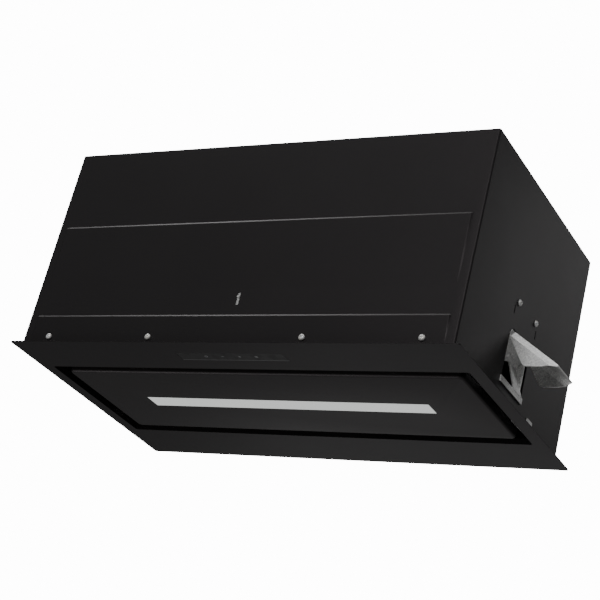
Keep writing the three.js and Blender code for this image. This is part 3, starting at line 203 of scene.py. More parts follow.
# %% [markdown]
# ## Powder coat
# The casing, the flange and the panel are steel sheet under a satin black powder coat. Baked powder
# never lies quite flat: it has a fine orange peel that breaks up a highlight, and broad soft waves
# from the sheet beneath. Fine noise is the peel, as relief and as gloss, and broad noise is the
# waves. The three are sprayed separately, so their coats differ a little.

# %% Coat
SATIN = 0.32
WARM_SHEEN = (1.0, 0.91, 0.95, 1.0)


def coat(name, shade, gloss, peel, sheen=SATIN):
    """
    Satin powder coat. Base: shade times 0.88 to 1.14, by broad noise with a little grit. Roughness:
    gloss plus broad and fine noise. Relief: the fine noise and the grit, with a strength of peel.
    """
    finish = Finish(name, Metallic=0.0, Specular_IOR_Level=sheen, Specular_Tint=WARM_SHEEN)
    broad = finish.noise(7.0, 3.0)
    fine = finish.noise(900.0, 2.0)
    grit = finish.noise(2600.0, 1.0)
    dark = tuple(0.88 * c for c in shade)
    pale = tuple(1.14 * c for c in shade)
    finish.colour((broad * 0.7 + grit * 0.3).mix(dark, pale))
    finish.rough(gloss + 0.07 * broad + 0.06 * fine)
    finish.bump(fine + 0.4 * grit, peel, 0.00012)
    return finish.material


finishes["casing_coat"] = coat("casing_coat_satin", (0.0098, 0.0094, 0.0096), 0.36, 0.30)
finishes["flange_coat"] = coat("flange_coat_satin", (0.0080, 0.0074, 0.0077), 0.38, 0.28, 0.25)
finishes["panel_coat"] = coat("panel_coat_satin", (0.0104, 0.0096, 0.0097), 0.38, 0.24)
print("coats:", *finishes)

# %% [markdown]
# ## Galvanised sheet
# The clips and the brackets are cut from hot-dip galvanised steel. Zinc freezes in crystals, so the
# sheet is a patchwork of flat greys, each catching the light its own way. Voronoi cells are the
# crystals: each cell's random colour sets its grey and its gloss, and a fine noise dulls the whole.
# The motor's can is steel with the same kind of spangle, only darker and coarser.

# %% Galvanised
def galvanised(name, low, high, crystal):
    """
    Zinc spangle. Base: low to high by a random grey for each Voronoi cell, with cloudy noise and a
    film. Roughness: the cell's second random value. Coarse noise bends the walls of the cells.
    """
    finish = Finish(name, Metallic=1.0)
    drift = finish.node("ShaderNodeTexNoise", {}, Vector=finish.place, Scale=160.0, out=1)
    shift = finish.node("ShaderNodeVectorMath", {"operation": "SCALE"}, drift, Scale=0.004)
    bent = finish.node("ShaderNodeVectorMath", {"operation": "ADD"}, finish.place, shift)
    cell = finish.node("ShaderNodeTexVoronoi", {}, Vector=bent, Scale=crystal, out=1)
    grey = finish.node("ShaderNodeSeparateColor", {}, cell)
    second = Wire(finish.tree, grey.socket.node.outputs[1])
    cloud = finish.noise(45.0, 4.0)
    film = finish.noise(1400.0, 2.0)
    tone = grey * 0.55 + cloud * 0.35 + film * 0.1
    finish.colour(tone.mix((low,) * 3, (high, high, high * 0.985)))
    finish.rough(0.40 + 0.12 * second + 0.08 * film)
    finish.bump(grey * 0.6 + film * 0.4, 0.12, 0.00008)
    return finish.material


finishes["galvanised"] = galvanised("galvanised_spangle", 0.50, 0.98, 800.0)
finishes["motor_steel"] = galvanised("motor_steel_plated", 0.34, 0.56, 420.0)
print("finishes so far:", len(finishes))


# %% [markdown]
# ## Plated screws and turned metal
# Bright zinc on screws has a faint blue and yellow cast and tiny scuffs from the driver bit. The
# filters and the lamp housing are aluminium, drawn or rolled, so their grain runs one way.

# %% Plated and rolled metal
def plated(name, shade, gloss):
    """Bright plating. Base: shade with a warm and a cool side mixed by cloudy noise; scuffs in the gloss."""
    finish = Finish(name, Metallic=0.45)
    cast = finish.noise(260.0, 2.0)
    scuff = finish.noise(2200.0, 3.0).above(0.58, 0.12)
    cool = (shade * 0.93, shade * 0.97, shade * 1.02)
    warm = (shade * 1.03, shade * 0.99, shade * 0.9)
    finish.colour(cast.above(0.5, 0.5).mix(cool, warm))
    finish.rough(gloss + 0.1 * cast + 0.15 * scuff)
    finish.bump(scuff, 0.15, 0.00005)
    return finish.material


def rolled(name, shade, gloss, along):
    """Rolled metal: noise squeezed along one axis gives the grain, in tone and in gloss."""
    finish = Finish(name, Metallic=1.0)
    streaks = [3000.0, 3000.0, 3000.0]
    streaks[along] = 25.0
    grain = finish.node("ShaderNodeTexNoise", {}, Vector=finish.stretched(*streaks), Scale=1.0, Detail=3.0)
    cloud = finish.noise(30.0, 2.0)
    finish.colour((grain * 0.6 + cloud * 0.4).mix((shade * 0.8,) * 3, (shade * 1.1,) * 3))
    finish.rough(gloss + 0.2 * grain)
    finish.bump(grain, 0.1, 0.00005)
    return finish.material


finishes["bright_zinc"] = plated("bright_zinc_plating", 0.98, 0.24)
finishes["filter_aluminium"] = rolled("filter_aluminium_rolled", 0.62, 0.30, 1)
finishes["lamp_aluminium"] = rolled("lamp_aluminium_drawn", 0.66, 0.28, 0)
print("finishes so far:", len(finishes))

# %% [markdown]
# ## Plastics, rubber and ferrite
# Moulded parts carry a spark-eroded grain from the mould: fine even bumps and a soft sheen. Rubber
# and the sintered magnets are made in moulds too, so they share the function with a coarser grain.

# %% Moulded
def moulded(name, shade, gloss, grain=1500.0, depth=0.00008):
    """Moulded plastic: spark-eroded grain as relief, cloudy tone, and gloss that follows the grain."""
    finish = Finish(name, Metallic=0.0)
    texture = finish.noise(grain, 2.0)
    cloud = finish.noise(18.0, 3.0)
    dark = tuple(0.85 * c for c in shade)
    pale = tuple(1.15 * c for c in shade)
    finish.colour((cloud * 0.7 + texture * 0.3).mix(dark, pale))
    finish.rough(gloss + 0.1 * texture)
    finish.bump(texture, 0.35, depth)
    return finish.material


finishes["black_plastic"] = moulded("black_plastic_grained", (0.011, 0.011, 0.012), 0.46)
finishes["grey_plastic"] = moulded("grey_plastic_grained", (0.10, 0.105, 0.112), 0.48)
finishes["impeller_plastic"] = moulded("impeller_plastic_grained", (0.014, 0.014, 0.015), 0.42)
finishes["capacitor_shell"] = moulded("capacitor_plastic", (0.74, 0.72, 0.66), 0.40)
finishes["bush_rubber"] = moulded("bush_rubber_matt", (0.012, 0.012, 0.012), 0.72, 700.0)
finishes["magnet_ferrite"] = moulded("magnet_ferrite_sintered", (0.045, 0.044, 0.046), 0.58, 1100.0)
print("finishes so far:", len(finishes))

# %% [markdown]
# ## The touch strip
# The strip is as black and as satin as the flange round it, so that only its signs tell where to
# press. They are printed on, so they could be a picture; sums of distances draw them sharp at any
# size. Each sign is a plain one, made of rings, bars and dots.

# %% Touch strip
def touch_strip(box):
    """
    Satin strip with a fine line along its rear edge and four faint signs. With x and y the distances
    from a sign's middle, a ring is the band of lengths between two radii, and a bar is where x is
    short and y is shorter. Fingerprints vary the gloss.
    """
    (x0, y0, _), (x1, y1, _) = box
    finish = Finish("touch_strip_satin", Metallic=0.0, Specular_IOR_Level=SATIN)
    soft, size = 0.0003, 0.0019
    prints = finish.noise(90.0, 3.0).above(0.55, 0.2)

    def within(wire, limit):
        """1 where a length is under a limit."""
        return 1 - wire.above(limit, soft)

    def from_point(x, y):
        """How far along x and along y from a point, both without a sign."""
        away = finish.node("ShaderNodeVectorMath", {"operation": "SUBTRACT"}, finish.place, (x, y, 0.0))
        split = finish.node("ShaderNodeSeparateXYZ", {}, away).socket.node.outputs
        return [Wire(finish.tree, out).maths("ABSOLUTE", Wire(finish.tree, out)) for out in split[:2]]

    signs = within(from_point(0.0, y1 - 0.0008)[1], 0.00035)
    for i, x in enumerate((-0.030, -0.0105, 0.0095, 0.029)):
        a, b = from_point(x, y0 + 0.45 * (y1 - y0))
        square = a * a + b * b
        far = square.maths("SQRT", square)
        ring = far.above(0.62 * size, soft) * within(far, 0.9 * size)
        bar = within(a, 0.75 * size) * within(b, 0.16 * size)
        post = within(b, 0.75 * size) * within(a, 0.16 * size)
        dot = within(far, 0.3 * size)
        signs = signs + 2.2 * (ring, bar, bar + post, ring + dot)[i]
    ground = finish.noise(40.0).mix((0.0080, 0.0078, 0.0080), (0.0098, 0.0095, 0.0097))
    finish.colour((signs * 0.45).mix(ground, (0.30, 0.30, 0.305)))
    finish.rough(0.40 + 0.10 * prints)
    return finish.material


finishes["touch_glass"] = touch_strip(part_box("control_strip"))
print("finishes so far:", len(finishes))

# %% [markdown]
# ## Diffuser and boards
# The opal diffuser over the lamps is milky, with a faint grain that spreads the light, and a painted
# emission lifts its tone a little. Circuit boards are a varnish over copper tracks.

# %% Opal and boards
def opal():
    """Milky diffuser: pale body, a faint painted emission that lifts its tone, and a fine frosted grain."""
    # The emission is painted light that lifts the diffuser's tone a little.
    finish = Finish("opal_diffuser", Metallic=0.0, Emission_Strength=0.45)
    cloud = finish.noise(14.0, 2.0)
    frost = finish.noise(1800.0, 2.0)
    finish.colour((cloud * 0.6 + frost * 0.4).mix((0.60, 0.62, 0.605), (0.70, 0.715, 0.70)))
    painted_glow = cloud.mix((0.85, 0.9, 0.88), (1.0, 1.0, 0.98))
    plug(finish.tree, finish.shader.inputs["Emission Color"], painted_glow)
    finish.rough(0.34 + 0.14 * frost)
    finish.bump(frost, 0.2, 0.00005)
    return finish.material


def board(name, ground, track):
    """Circuit board: straight tracks from the joints of a Brick texture, under a glossy varnish."""
    finish = Finish(name, Metallic=0.0)
    lanes = finish.node("ShaderNodeTexBrick", {}, Vector=finish.place, Scale=160.0, Mortar_Size=0.03, out=1)
    cloud = finish.noise(60.0, 2.0)
    finish.colour((lanes * 0.7 + cloud * 0.3).mix(ground, track))
    finish.rough(0.28 + 0.12 * cloud)
    finish.bump(lanes, 0.3, 0.00008)
    return finish.material


finishes["lamp_diffuser"] = opal()
finishes["circuit_board"] = board("green_circuit_board", (0.010, 0.075, 0.026), (0.022, 0.14, 0.05))
finishes["lamp_circuit"] = board("white_circuit_board", (0.62, 0.62, 0.58), (0.76, 0.75, 0.70))
print("finishes so far:", len(finishes))

# %% [markdown]
# ## One finish for each slot
# The record names a material slot for every part, and each slot now has its finish. Every part of
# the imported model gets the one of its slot, also those that are replaced by a finer piece later.

# %% Give out the finishes
for name, part in nodes.items():
    part.data.materials.clear()
    part.data.materials.append(finishes[slot_of[name]])
print(len(nodes), "parts in", len(finishes), "finishes")

# %% [markdown]
# ## Softer edges
# No real edge is perfectly sharp: a sheared sheet has a burr that coating rounds off, and a moulded
# edge has a radius. A thin bright line along an edge is what tells the eye that a thing is solid.
# Each part is copied, its loose triangles merged into flat faces, and a Bevel rounds the corners.

# %% Refine a part
SHARP = np.radians(32)


def settle(piece, body, slot):
    """Puts a finished piece on its body and names its finish."""
    bpy.context.scene.collection.objects.link(piece)
    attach(piece, body)
    piece.data.materials.append(finishes[slot])
    return piece


def is_fold(edge):
    """True where a level sheet turns up into a wall, and not at the sheared edge of the sheet."""
    level = [face for face in edge.link_faces if abs(face.normal.z) > 0.99]
    walls = [face for face in edge.link_faces if abs(face.normal.z) < 0.01]
    if len(level) != 1 or len(walls) != 1 or not edge.is_convex:
        return False
    heights = [corner.co.z for corner in walls[0].verts]
    return max(heights) - min(heights) > 0.003


def refined(name, width, fold=0.0):
    """
    A copy of a part with merged faces, smooth bends and rounded edges of a width in millimetres, and
    with a wider flat on its folds where a fold is given.
    """
    mesh = bpy.data.meshes.new(name + "_fine")
    cells = bmesh.new()
    cells.from_mesh(nodes[name].data)
    bmesh.ops.remove_doubles(cells, verts=cells.verts, dist=3e-6)
    bmesh.ops.dissolve_limit(cells, angle_limit=0.004, verts=cells.verts, edges=cells.edges)
    for face in cells.faces:
        face.smooth = True
    widest = max(width, fold)
    weight = cells.edges.layers.float.new("bevel_weight_edge")
    for edge in cells.edges:
        edge.smooth = len(edge.link_faces) == 2 and edge.calc_face_angle(0) < SHARP
        if not edge.smooth:
            edge[weight] = 1.0 if fold and is_fold(edge) else width / widest
    cells.to_mesh(mesh)
    cells.free()
    piece = settle(bpy.data.objects.new(name + "_fine", mesh), body_of_node[name], slot_of[name])
    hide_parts(name)
    bevel = piece.modifiers.new("rounded_edges", "BEVEL")
    bevel.width = widest / 1000
    bevel.segments = 1 if fold else 2
    bevel.limit_method = "WEIGHT"
    bevel.harden_normals = True


edge_rounding = {
    "casing_wrap": 0.3, "back_panel": 0.3, "top_panel": 0.25, "flange_frame": 0.35, "filter_deck": 0.25,
    "panel_pan": 0.3, "panel_back_plate": 0.2, "lamp_lens": 0.2, "lamp_housing": 0.2,
    "side_clip_left": 0.55, "side_clip_right": 0.55, "hanging_tab": 0.2, "control_strip": 0.15,
    "catch_bracket_left": 0.2, "catch_bracket_right": 0.2, "catch_magnet_left": 0.4,
    "catch_magnet_right": 0.4, "pivot_bracket_left": 0.2, "pivot_bracket_right": 0.2,
    "filter_frame_left": 0.6, "filter_frame_right": 0.6, "filter_latch_left": 0.4,
    "filter_latch_right": 0.4, "volute_left": 0.4, "volute_right": 0.4, "electronics_box": 0.8,
    "electronics_lid": 0.6, "motor_bracket": 0.3, "control_cover": 0.6, "control_board": 0.2,
    "lamp_board": 0.2, "power_board": 0.3, "flap_back": 0.3, "flap_front": 0.3,
}
folds = {"panel_pan": 1.3, "flange_frame": 1.1}
for name, width in edge_rounding.items():
    refined(name, width, folds.get(name, 0.0))
print("refined", len(edge_rounding), "parts, with wider folds on", *folds)

# %% [markdown]
# ## Helpers for surfaces
# The finer pieces are surfaces worked out by formula on a grid of points. These helpers turn points
# and faces into a smooth mesh, join the squares of a flat or a closed grid, and read off where a part
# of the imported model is, so that what is made here sits in its place.

# %% Grids and meshes
def mesh_of(name, points, faces, crease=48):
    """A smooth mesh from points and faces, with sharp edges past a crease angle and its normals out."""
    mesh = bpy.data.meshes.new(name)
    mesh.from_pydata(np.asarray(points).tolist(), [], [list(f) for f in faces])
    cells = bmesh.new()
    cells.from_mesh(mesh)
    bmesh.ops.remove_doubles(cells, verts=cells.verts, dist=1e-7)
    bmesh.ops.recalc_face_normals(cells, faces=cells.faces)
    for face in cells.faces:
        face.smooth = True
    for edge in cells.edges:
        edge.smooth = len(edge.link_faces) == 2 and edge.calc_face_angle(0) < np.radians(crease)
    cells.to_mesh(mesh)
    cells.free()
    return mesh


def corners_of(name):
    """Low corner, high corner and middle of a node's box."""
    low, high = (np.array(corner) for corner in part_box(name))
    return low, high, (low + high) / 2


def flat_faces(rows, columns):
    """Quads of an open grid."""
    row, column = np.meshgrid(np.arange(rows - 1), np.arange(columns - 1), indexing="ij")
    first = row * columns + column
    return np.stack([first, first + columns, first + columns + 1, first + 1], axis=-1).reshape(-1, 4)


def grid_faces(rows, columns):
    """Quads of a grid whose columns close round on themselves."""
    row, column = np.meshgrid(np.arange(rows - 1), np.arange(columns), indexing="ij")
    nxt = (column + 1) % columns
    corners = np.stack([row * columns + column, row * columns + nxt,
                        (row + 1) * columns + nxt, (row + 1) * columns + column], axis=-1)
    return corners.reshape(-1, 4)


def gathered(parts):
    """Joins several lots of points and faces into one lot."""
    points, faces, count = [], [], 0
    for some_points, some_faces in parts:
        points.append(some_points)
        faces += [[corner + count for corner in face] for face in some_faces]
        count += len(some_points)
    return np.concatenate(points), faces


low, high, _ = corners_of("casing_wrap")
print("the casing measures", (high - low).round(3).tolist(), "m")

# %% [markdown]
# ## Pressed steps
# The front wall is stiffened by two shallow steps pressed into it. Below each step the sheet stands
# a millimetre proud and then runs back to nothing, so only the step's sloping top edge shows, as a
# thin bright line. A grid of heights over each field makes it, with its borders sunk into the wall.

# %% Pressed steps
BEAD_RISE = 0.0007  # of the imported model's own lines in front of the wall
STEP_MARGIN = 0.010  # from a step's end to the casing's corner
SKIN = 0.00004  # how far a field's border lies behind the wall


def step_field(level, foot, half, front, rise=0.0011, slope=0.002):
    """
    Points over a field of the front wall. Its height is the lesser of two straight lines in z: one
    falls from rise to 0 over the slope just above level, the other falls from rise at level to 0 at
    foot. The height also falls to 0 over 1.5 mm at both ends.
    """
    brow = level + np.linspace(1.1 * slope, -0.3 * slope, 18)
    z = np.concatenate([brow, np.linspace(level - slope, foot, 14)])
    end = np.linspace(0, 0.002, 8)
    x = np.concatenate([end - half, np.linspace(-half + 0.01, half - 0.01, 80), half - end[::-1]])
    x, z = np.meshgrid(x, z, indexing="ij")
    share = np.minimum((level + slope - z) / slope, (z - foot) / (level - foot))
    ends = np.clip((half - abs(x)) / 0.0015, 0, 1)
    y = front - rise * np.clip(share, 0, 1) * ends + SKIN
    return np.stack([x, y, z], axis=-1).reshape(-1, 3), flat_faces(*x.shape)


for name, level, foot in (("upper_step", 0.140, 0.062), ("lower_step", 0.033, 0.004)):
    field = step_field(level, foot, high[0] - STEP_MARGIN, low[1] + BEAD_RISE)
    step = bpy.data.objects.new(name, mesh_of(name, *field))
    settle(step, "hood", slot_of["casing_wrap"])
    print(name, len(step.data.polygons), "faces")

# %% [markdown]
# ## Screws
# A pan-head screw is a low dome with a cross stamped into it. The whole head is one surface over a
# disc: its height at each point is the dome minus the depth of the cross there. A polar grid keeps
# the rim round, and the cross is a soft-edged mask on the two straight directions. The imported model
# shows where every head sits; on the back and the top the heads are one piece with their sheet, so
# slightly larger ones are set over them.

# %% Screw heads
def ramp(value, edge, soft):
    """Smooth step from 1 to 0 as value passes edge, over a width soft."""
    share = np.clip((edge + soft / 2 - value) / soft, 0, 1)
    return share * share * (3 - 2 * share)


def screw_head(radius, height, turn):
    """
    Head of a cross-recess screw, facing +Z, with its seat at z 0. On rings of radius r at angles a,
    z = height * (1 - 0.55 (r / radius) ** 4) less the cross, which is 1.4 mm deep; two last rings
    fold down to the seat.
    """
    rings, around = 26, 72
    r = np.concatenate([np.linspace(0.02, 1.0, rings), [1.02, 1.0]]) * radius
    a = np.linspace(0, 2 * np.pi, around, endpoint=False)
    r, a = np.meshgrid(r, a, indexing="ij")
    x, y = r * np.cos(a), r * np.sin(a)
    u, v = r * np.cos(a - turn), r * np.sin(a - turn)
    narrow, far = np.minimum(abs(u), abs(v)), np.maximum(abs(u), abs(v))
    cross = ramp(narrow, 0.13 * radius, 0.10 * radius) * ramp(far, 0.58 * radius, 0.14 * radius)
    well = ramp(r, 0.24 * radius, 0.16 * radius)
    z = height * (1 - 0.55 * (r / radius) ** 4) - 0.0014 * np.maximum(cross, well)
    z[-2], z[-1] = 0.28 * height, 0.0
    points = np.stack([x, y, z], axis=-1).reshape(-1, 3)
    faces = grid_faces(*r.shape).tolist()
    faces.append(list(range(around)))
    faces.append(list(range(len(points) - around, len(points)))[::-1])
    return points, faces


HEAD = (0.00325, 0.00235)  # radius and height of a pan head
TALL_HEAD = (0.0035, 0.0038)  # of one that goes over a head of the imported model
print("a head has", len(screw_head(*HEAD, 0.0)[0]), "points")

# %% [markdown]
# ## Setting the screws
# Each head is turned to face out of its sheet and is also spun by a different angle, since no fitter
# leaves every cross at the same one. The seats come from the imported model: a screw's own box, or the
# box of the sheet that it goes through.

# %% Set the screws
# Columns say where a head's own x, y and z point when it faces each way
FACING = {
    "front": Matrix(((1, 0, 0), (0, 0, -1), (0, 1, 0))),
    "back": Matrix(((-1, 0, 0), (0, 0, 1), (0, 1, 0))),
    "right": Matrix(((0, 0, 1), (0, 1, 0), (-1, 0, 0))),
    "left": Matrix(((0, 0, -1), (0, 1, 0), (1, 0, 0))),
    "up": Matrix(((1, 0, 0), (0, 1, 0), (0, 0, 1))),
}
CAD_HEAD = 0.0022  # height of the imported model's heads
SEAT_GAP = 0.0003  # between the back sheet and a head
BACK_SPREAD = 0.35  # of the casing's width, from the middle to the outer columns
COLLAR_CIRCLE = 0.0805  # radius of the circle of collar screws


def screw_set(name, facing, seats, size=HEAD, stands_for=()):
    """One piece of the hood holding the heads of several screws, each spun a little differently."""
    turn_about = np.array(FACING[facing])
    heads = []
    for i, seat in enumerate(seats):
        points, faces = screw_head(*size, 0.35 + 1.1 * i)
        heads.append((points @ turn_about.T + np.array(seat), faces))
    piece = bpy.data.objects.new(name, mesh_of(name, *gathered(heads)))
    settle(piece, "hood", "bright_zinc")
    if stands_for:
        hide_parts(*stands_for)


for name in [n for n in nodes if n.startswith("front_screw")]:
    low, _, middle = corners_of(name)
    seat = (middle[0], low[1] + CAD_HEAD, middle[2])
    screw_set(name + "_head", "front", [seat], stands_for=[name])
for name in [n for n in nodes if "deck_screw" in n]:
    low, high, middle = corners_of(name)
    side, x = ("right", high[0] - CAD_HEAD) if middle[0] > 0 else ("left", low[0] + CAD_HEAD)
    screw_set(name + "_head", side, [(x, middle[1], middle[2])], stands_for=[name])

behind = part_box("back_panel")[1][1] + SEAT_GAP
reach = 2 * BACK_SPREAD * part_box("casing_wrap")[1][0]
rows = [0.010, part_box("filter_deck")[1][2] - 0.024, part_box("top_panel")[1][2] - 0.0121]
back_seats = [(share * reach, behind, z) for z in rows for share in (-1, 0, 1)]
screw_set("back_screw_heads", "back", back_seats, TALL_HEAD)
low, _, middle = corners_of("duct_collar")
collar_seats = [(COLLAR_CIRCLE * np.cos(a), middle[1] + COLLAR_CIRCLE * np.sin(a), low[2] + 0.0023)
                for a in np.radians([45, 135, 225, 315])]
screw_set("collar_screw_heads", "up", collar_seats, TALL_HEAD)
print("screw heads:", len(back_seats), "on the back and", len(collar_seats), "on the collar")

# %% [markdown]
# ## Turning an outline
# The collar, the motor, the inlet rings, the capacitor, the bushes and the gland are all round. Each
# could be a stack of cylinders, but one outline turned round an axis is truer and needs no joins. The
# outline lists pairs of a place along the axis and a radius; its corners are rounded first, and a
# second function can wave the radius with the angle, for a hexagon.

# %% Turn an outline
def rounded(outline, radius, steps=4):
    """
    Rounds each inner corner of an outline: from the point a radius before the corner to the one a
    radius after it, along a quadratic curve whose middle handle is the corner itself.
    """
    outline = np.array(outline, float)
    made = [outline[0]]
    for before, corner, after in zip(outline[:-2], outline[1:-1], outline[2:]):
        to_start, to_end = before - corner, after - corner
        reach = min(radius, 0.45 * np.linalg.norm(to_start), 0.45 * np.linalg.norm(to_end))
        start = corner + to_start * reach / np.linalg.norm(to_start)
        end = corner + to_end * reach / np.linalg.norm(to_end)
        for t in np.linspace(0, 1, steps + 1):
            made.append((1 - t) ** 2 * start + 2 * t * (1 - t) * corner + t * t * end)
    made.append(outline[-1])
    return np.array(made)


AXES = {"x": (1, 2, 0), "y": (2, 0, 1), "z": (0, 1, 2)}


def turned(outline, axis, centre, around=96, wave=None):
    """
    Points and faces of an outline of (place, radius) pairs turned round an axis through a centre:
    the ring at each pair is radius times (cos a, sin a), times wave(a, place) where one is given.
    """
    place, radius = np.array(outline, float).T
    a = np.linspace(0, 2 * np.pi, around, endpoint=False)
    place, a = np.meshgrid(place, a, indexing="ij")
    radius = radius[:, None] * (wave(a, place) if wave else 1.0)
    across, up, along = AXES[axis]
    points = np.zeros((*place.shape, 3))
    points[..., across] = centre[across] + radius * np.cos(a)
    points[..., up] = centre[up] + radius * np.sin(a)
    points[..., along] = place
    return points.reshape(-1, 3), grid_faces(*place.shape)


def turned_piece(name, outline, axis, corner=0.0005, around=96, wave=None, crease=48):
    """Replaces a node by its outline turned round the middle of the node's box."""
    made = turned(rounded(outline, corner), axis, corners_of(name)[2], around, wave)
    piece = bpy.data.objects.new(name + "_turned", mesh_of(name + "_turned", *made, crease))
    settle(piece, body_of_node[name], slot_of[name])
    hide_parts(name)
    print(name, len(piece.data.polygons), "faces")


def span(name, axis):
    """Where a part starts and ends along an axis, and half its width across it."""
    low, high, _ = corners_of(name)
    along = AXES[axis][2]
    across = 2 if axis == "x" else 0
    return low[along], high[along], (high[across] - low[across]) / 2


# %% [markdown]
# ## Collar and motor
# The collar is spun from sheet, with a flat foot and a raised ring near the rim that the duct's clamp
# sits behind. The motor's can has cooling ribs, which are a zigzag in its outline.

# %% Collar and motor
SHEET = 0.002  # of the collar
FOOT = 0.011  # how far the collar's foot stands out

z0, z1, foot = span("duct_collar", "z")
outer = foot - FOOT
inner = outer - SHEET
turned_piece("duct_collar", [
    (z0, inner), (z0, foot), (z0 + SHEET, foot), (z0 + SHEET, outer), (z1 - 0.009, outer),
    (z1 - 0.0075, outer + 0.0009), (z1 - 0.006, outer), (z1, outer - 0.0002), (z1, inner), (z0, inner),
], "z", 0.0006, 160)

x0, x1, fat = span("motor_body", "x")
ribs = [(x0 + 0.012 + 0.0022 * i, fat - (0.0014 if i % 2 else 0.0)) for i in range(19)]
turned_piece("motor_body", [
    (x0, 0.0044), (x0, 0.018), (x0 + 0.003, fat - 0.006), (x0 + 0.006, fat), *ribs,
    (x1 - 0.006, fat), (x1, fat - 0.006), (x1, 0.0),
], "x", 0.0005, 128)

# %% [markdown]
# ## Inlet rings
# Air turns the corner into the wheel more quietly over a bell than over an edge. Each ring is pressed
# into a quarter round, which is an arc outside, a slightly smaller arc inside, and a throat.

# %% Inlet rings
FLARE = 0.005  # radius of the bell
RING_SHEET = 0.0012

for name, side in (("inlet_ring_right", 1), ("inlet_ring_left", -1)):
    x0, x1, rim = span(name, "x")
    start, end = (x0, x1) if side > 0 else (x1, x0)
    throat, hollow = rim - FLARE, FLARE - RING_SHEET
    turn = np.linspace(0, np.pi / 2, 9)
    bell = [(end - side * FLARE * (1 - np.sin(t)), rim - FLARE * np.cos(t)) for t in turn]
    back = [(end - side * (FLARE - hollow * np.sin(t)), rim - hollow * np.cos(t)) for t in turn[::-1]]
    outline = [(start, throat), *bell, *back, (start, throat + RING_SHEET), (start, throat)]
    turned_piece(name, outline, "x", 0.0002, 120)

# %% [markdown]
# ## Capacitor, gland, bushes and pins
# The capacitor is a can with a crimped groove and a stud. The gland is a hexagon nut with a cap that
# grips the mains cord. The motor hangs on soft bushes with a waist, and the pins are plain rods.

# %% Small round parts
def hexagon(low, high):
    """A wave that makes rings between two heights six-sided, with softened corners."""
    def wave(a, place):
        flat = np.minimum(1 / np.cos((a % (np.pi / 3)) - np.pi / 6), 1.11)
        return np.where((place > low) & (place < high), flat * 0.94, 1.0)
    return wave


z0, top, fat = span("run_capacitor", "z")
z1 = top - 0.008
turned_piece("run_capacitor", [
    (z0, 0.0), (z0, fat - 0.003), (z0 + 0.002, fat), (z1 - 0.006, fat), (z1 - 0.005, fat - 0.0007),
    (z1 - 0.004, fat), (z1, fat - 0.001), (z1, 0.004), (top, 0.004), (top, 0.0),
], "z", 0.0007)

z0, z1, fat = span("cable_gland", "z")
nut = z0 + 0.016
turned_piece("cable_gland", [
    (z0, 0.004), (z0, fat - 0.003), (nut, fat - 0.003), (nut, fat), (nut + 0.0045, fat),
    (nut + 0.005, fat - 0.002), (z1 - 0.006, fat - 0.0035), (z1, fat - 0.005), (z1, 0.004), (z0, 0.004),
], "z", 0.0005, 120, hexagon(nut - 1e-6, nut + 0.0046))

for name in [n for n in nodes if n.startswith("motor_bush")]:
    x0, x1, fat = span(name, "x")
    turned_piece(name, [
        (x0, 0.0022), (x0, fat), (x0 + 0.002, fat), (x0 + 0.0033, fat - 0.0009), (x0 + 0.0045, fat),
        (x1 - 0.0032, fat), (x1 - 0.0032, 0.0029), (x1, 0.0029), (x1, 0.0022), (x0, 0.0022),
    ], "x", 0.0006, 48)
for name in ("flap_pin", "motor_shaft"):
    x0, x1, fat = span(name, "x")
    turned_piece(name, [(x0, 0.0), (x0, fat), (x1, fat), (x1, 0.0)], "x", 0.0006, 48)

# %% [markdown]
# ## Grease filters
# A cassette holds layers of expanded aluminium. A machine slits a sheet and pulls it open, which
# leaves zigzag strands that touch at every second bend. Modelling the slits would be slow; drawing
# each strand as a thin ribbon that zigzags is exact and light. The pleats that stiffen the pack are
# a broad wave added to every strand's height.

# %% Expanded metal
CELL = (0.0062, 0.0034)  # one opening of the mesh, along x and y
RIBBON = [(-0.00035, -0.0001), (0.00035, -0.0001), (0.00035, 0.0001), (-0.00035, 0.0001)]
PLEATS = 18
MESH_MARGIN = 0.0005


def strands(x_range, y_range, level, pleat):
    """
    Zigzag ribbons over a rectangle. Strand k runs along x at y = (k + 0.55 + 0.5 zig) * pitch, where
    zig swaps between 0 and 0.9 from one bend to the next, and turns over from strand to strand. Its
    height is level + pleat * (a triangle wave of x), with the outer bends 0.3 mm higher.
    """
    columns = int((x_range[1] - x_range[0]) / (CELL[0] / 2))
    rows = int((y_range[1] - y_range[0]) / CELL[1])
    x = np.linspace(*x_range, columns + 1)
    pitch = (y_range[1] - y_range[0]) / (rows + 1)
    rise = np.abs(((x - x_range[0]) / (x_range[1] - x_range[0]) * PLEATS) % 1 * 2 - 1)
    parts = []
    for k in range(rows):
        zig = ((np.arange(columns + 1) + k) % 2) * 0.9
        y = y_range[0] + (k + 0.55 + 0.5 * zig) * pitch
        z = level + pleat * rise + 0.0003 * zig
        path = np.stack([x, y, z], axis=-1)
        points = np.stack([path + (0, dy, dz) for dy, dz in RIBBON], axis=1).reshape(-1, 3)
        faces = grid_faces(columns + 1, 4).tolist()
        faces += [[3, 2, 1, 0], [4 * columns + i for i in range(4)]]
        parts.append((points, faces))
    return gathered(parts)


for name in ("filter_mesh_left", "filter_mesh_right"):
    low, high, _ = corners_of(name)
    x_range = (low[0] + MESH_MARGIN, high[0] - MESH_MARGIN)
    y_range = (low[1] + MESH_MARGIN, high[1] - MESH_MARGIN)
    lower = strands(x_range, y_range, low[2] + 0.0003, 0.0016)
    upper = strands(x_range, y_range, high[2] - 0.0022, 0.0014)
    mesh = mesh_of(name + "_strands", *gathered([lower, upper]))
    piece = bpy.data.objects.new(name + "_strands", mesh)
    settle(piece, body_of_node[name], slot_of[name])
    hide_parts(name)
    print(name, len(piece.data.polygons), "faces")

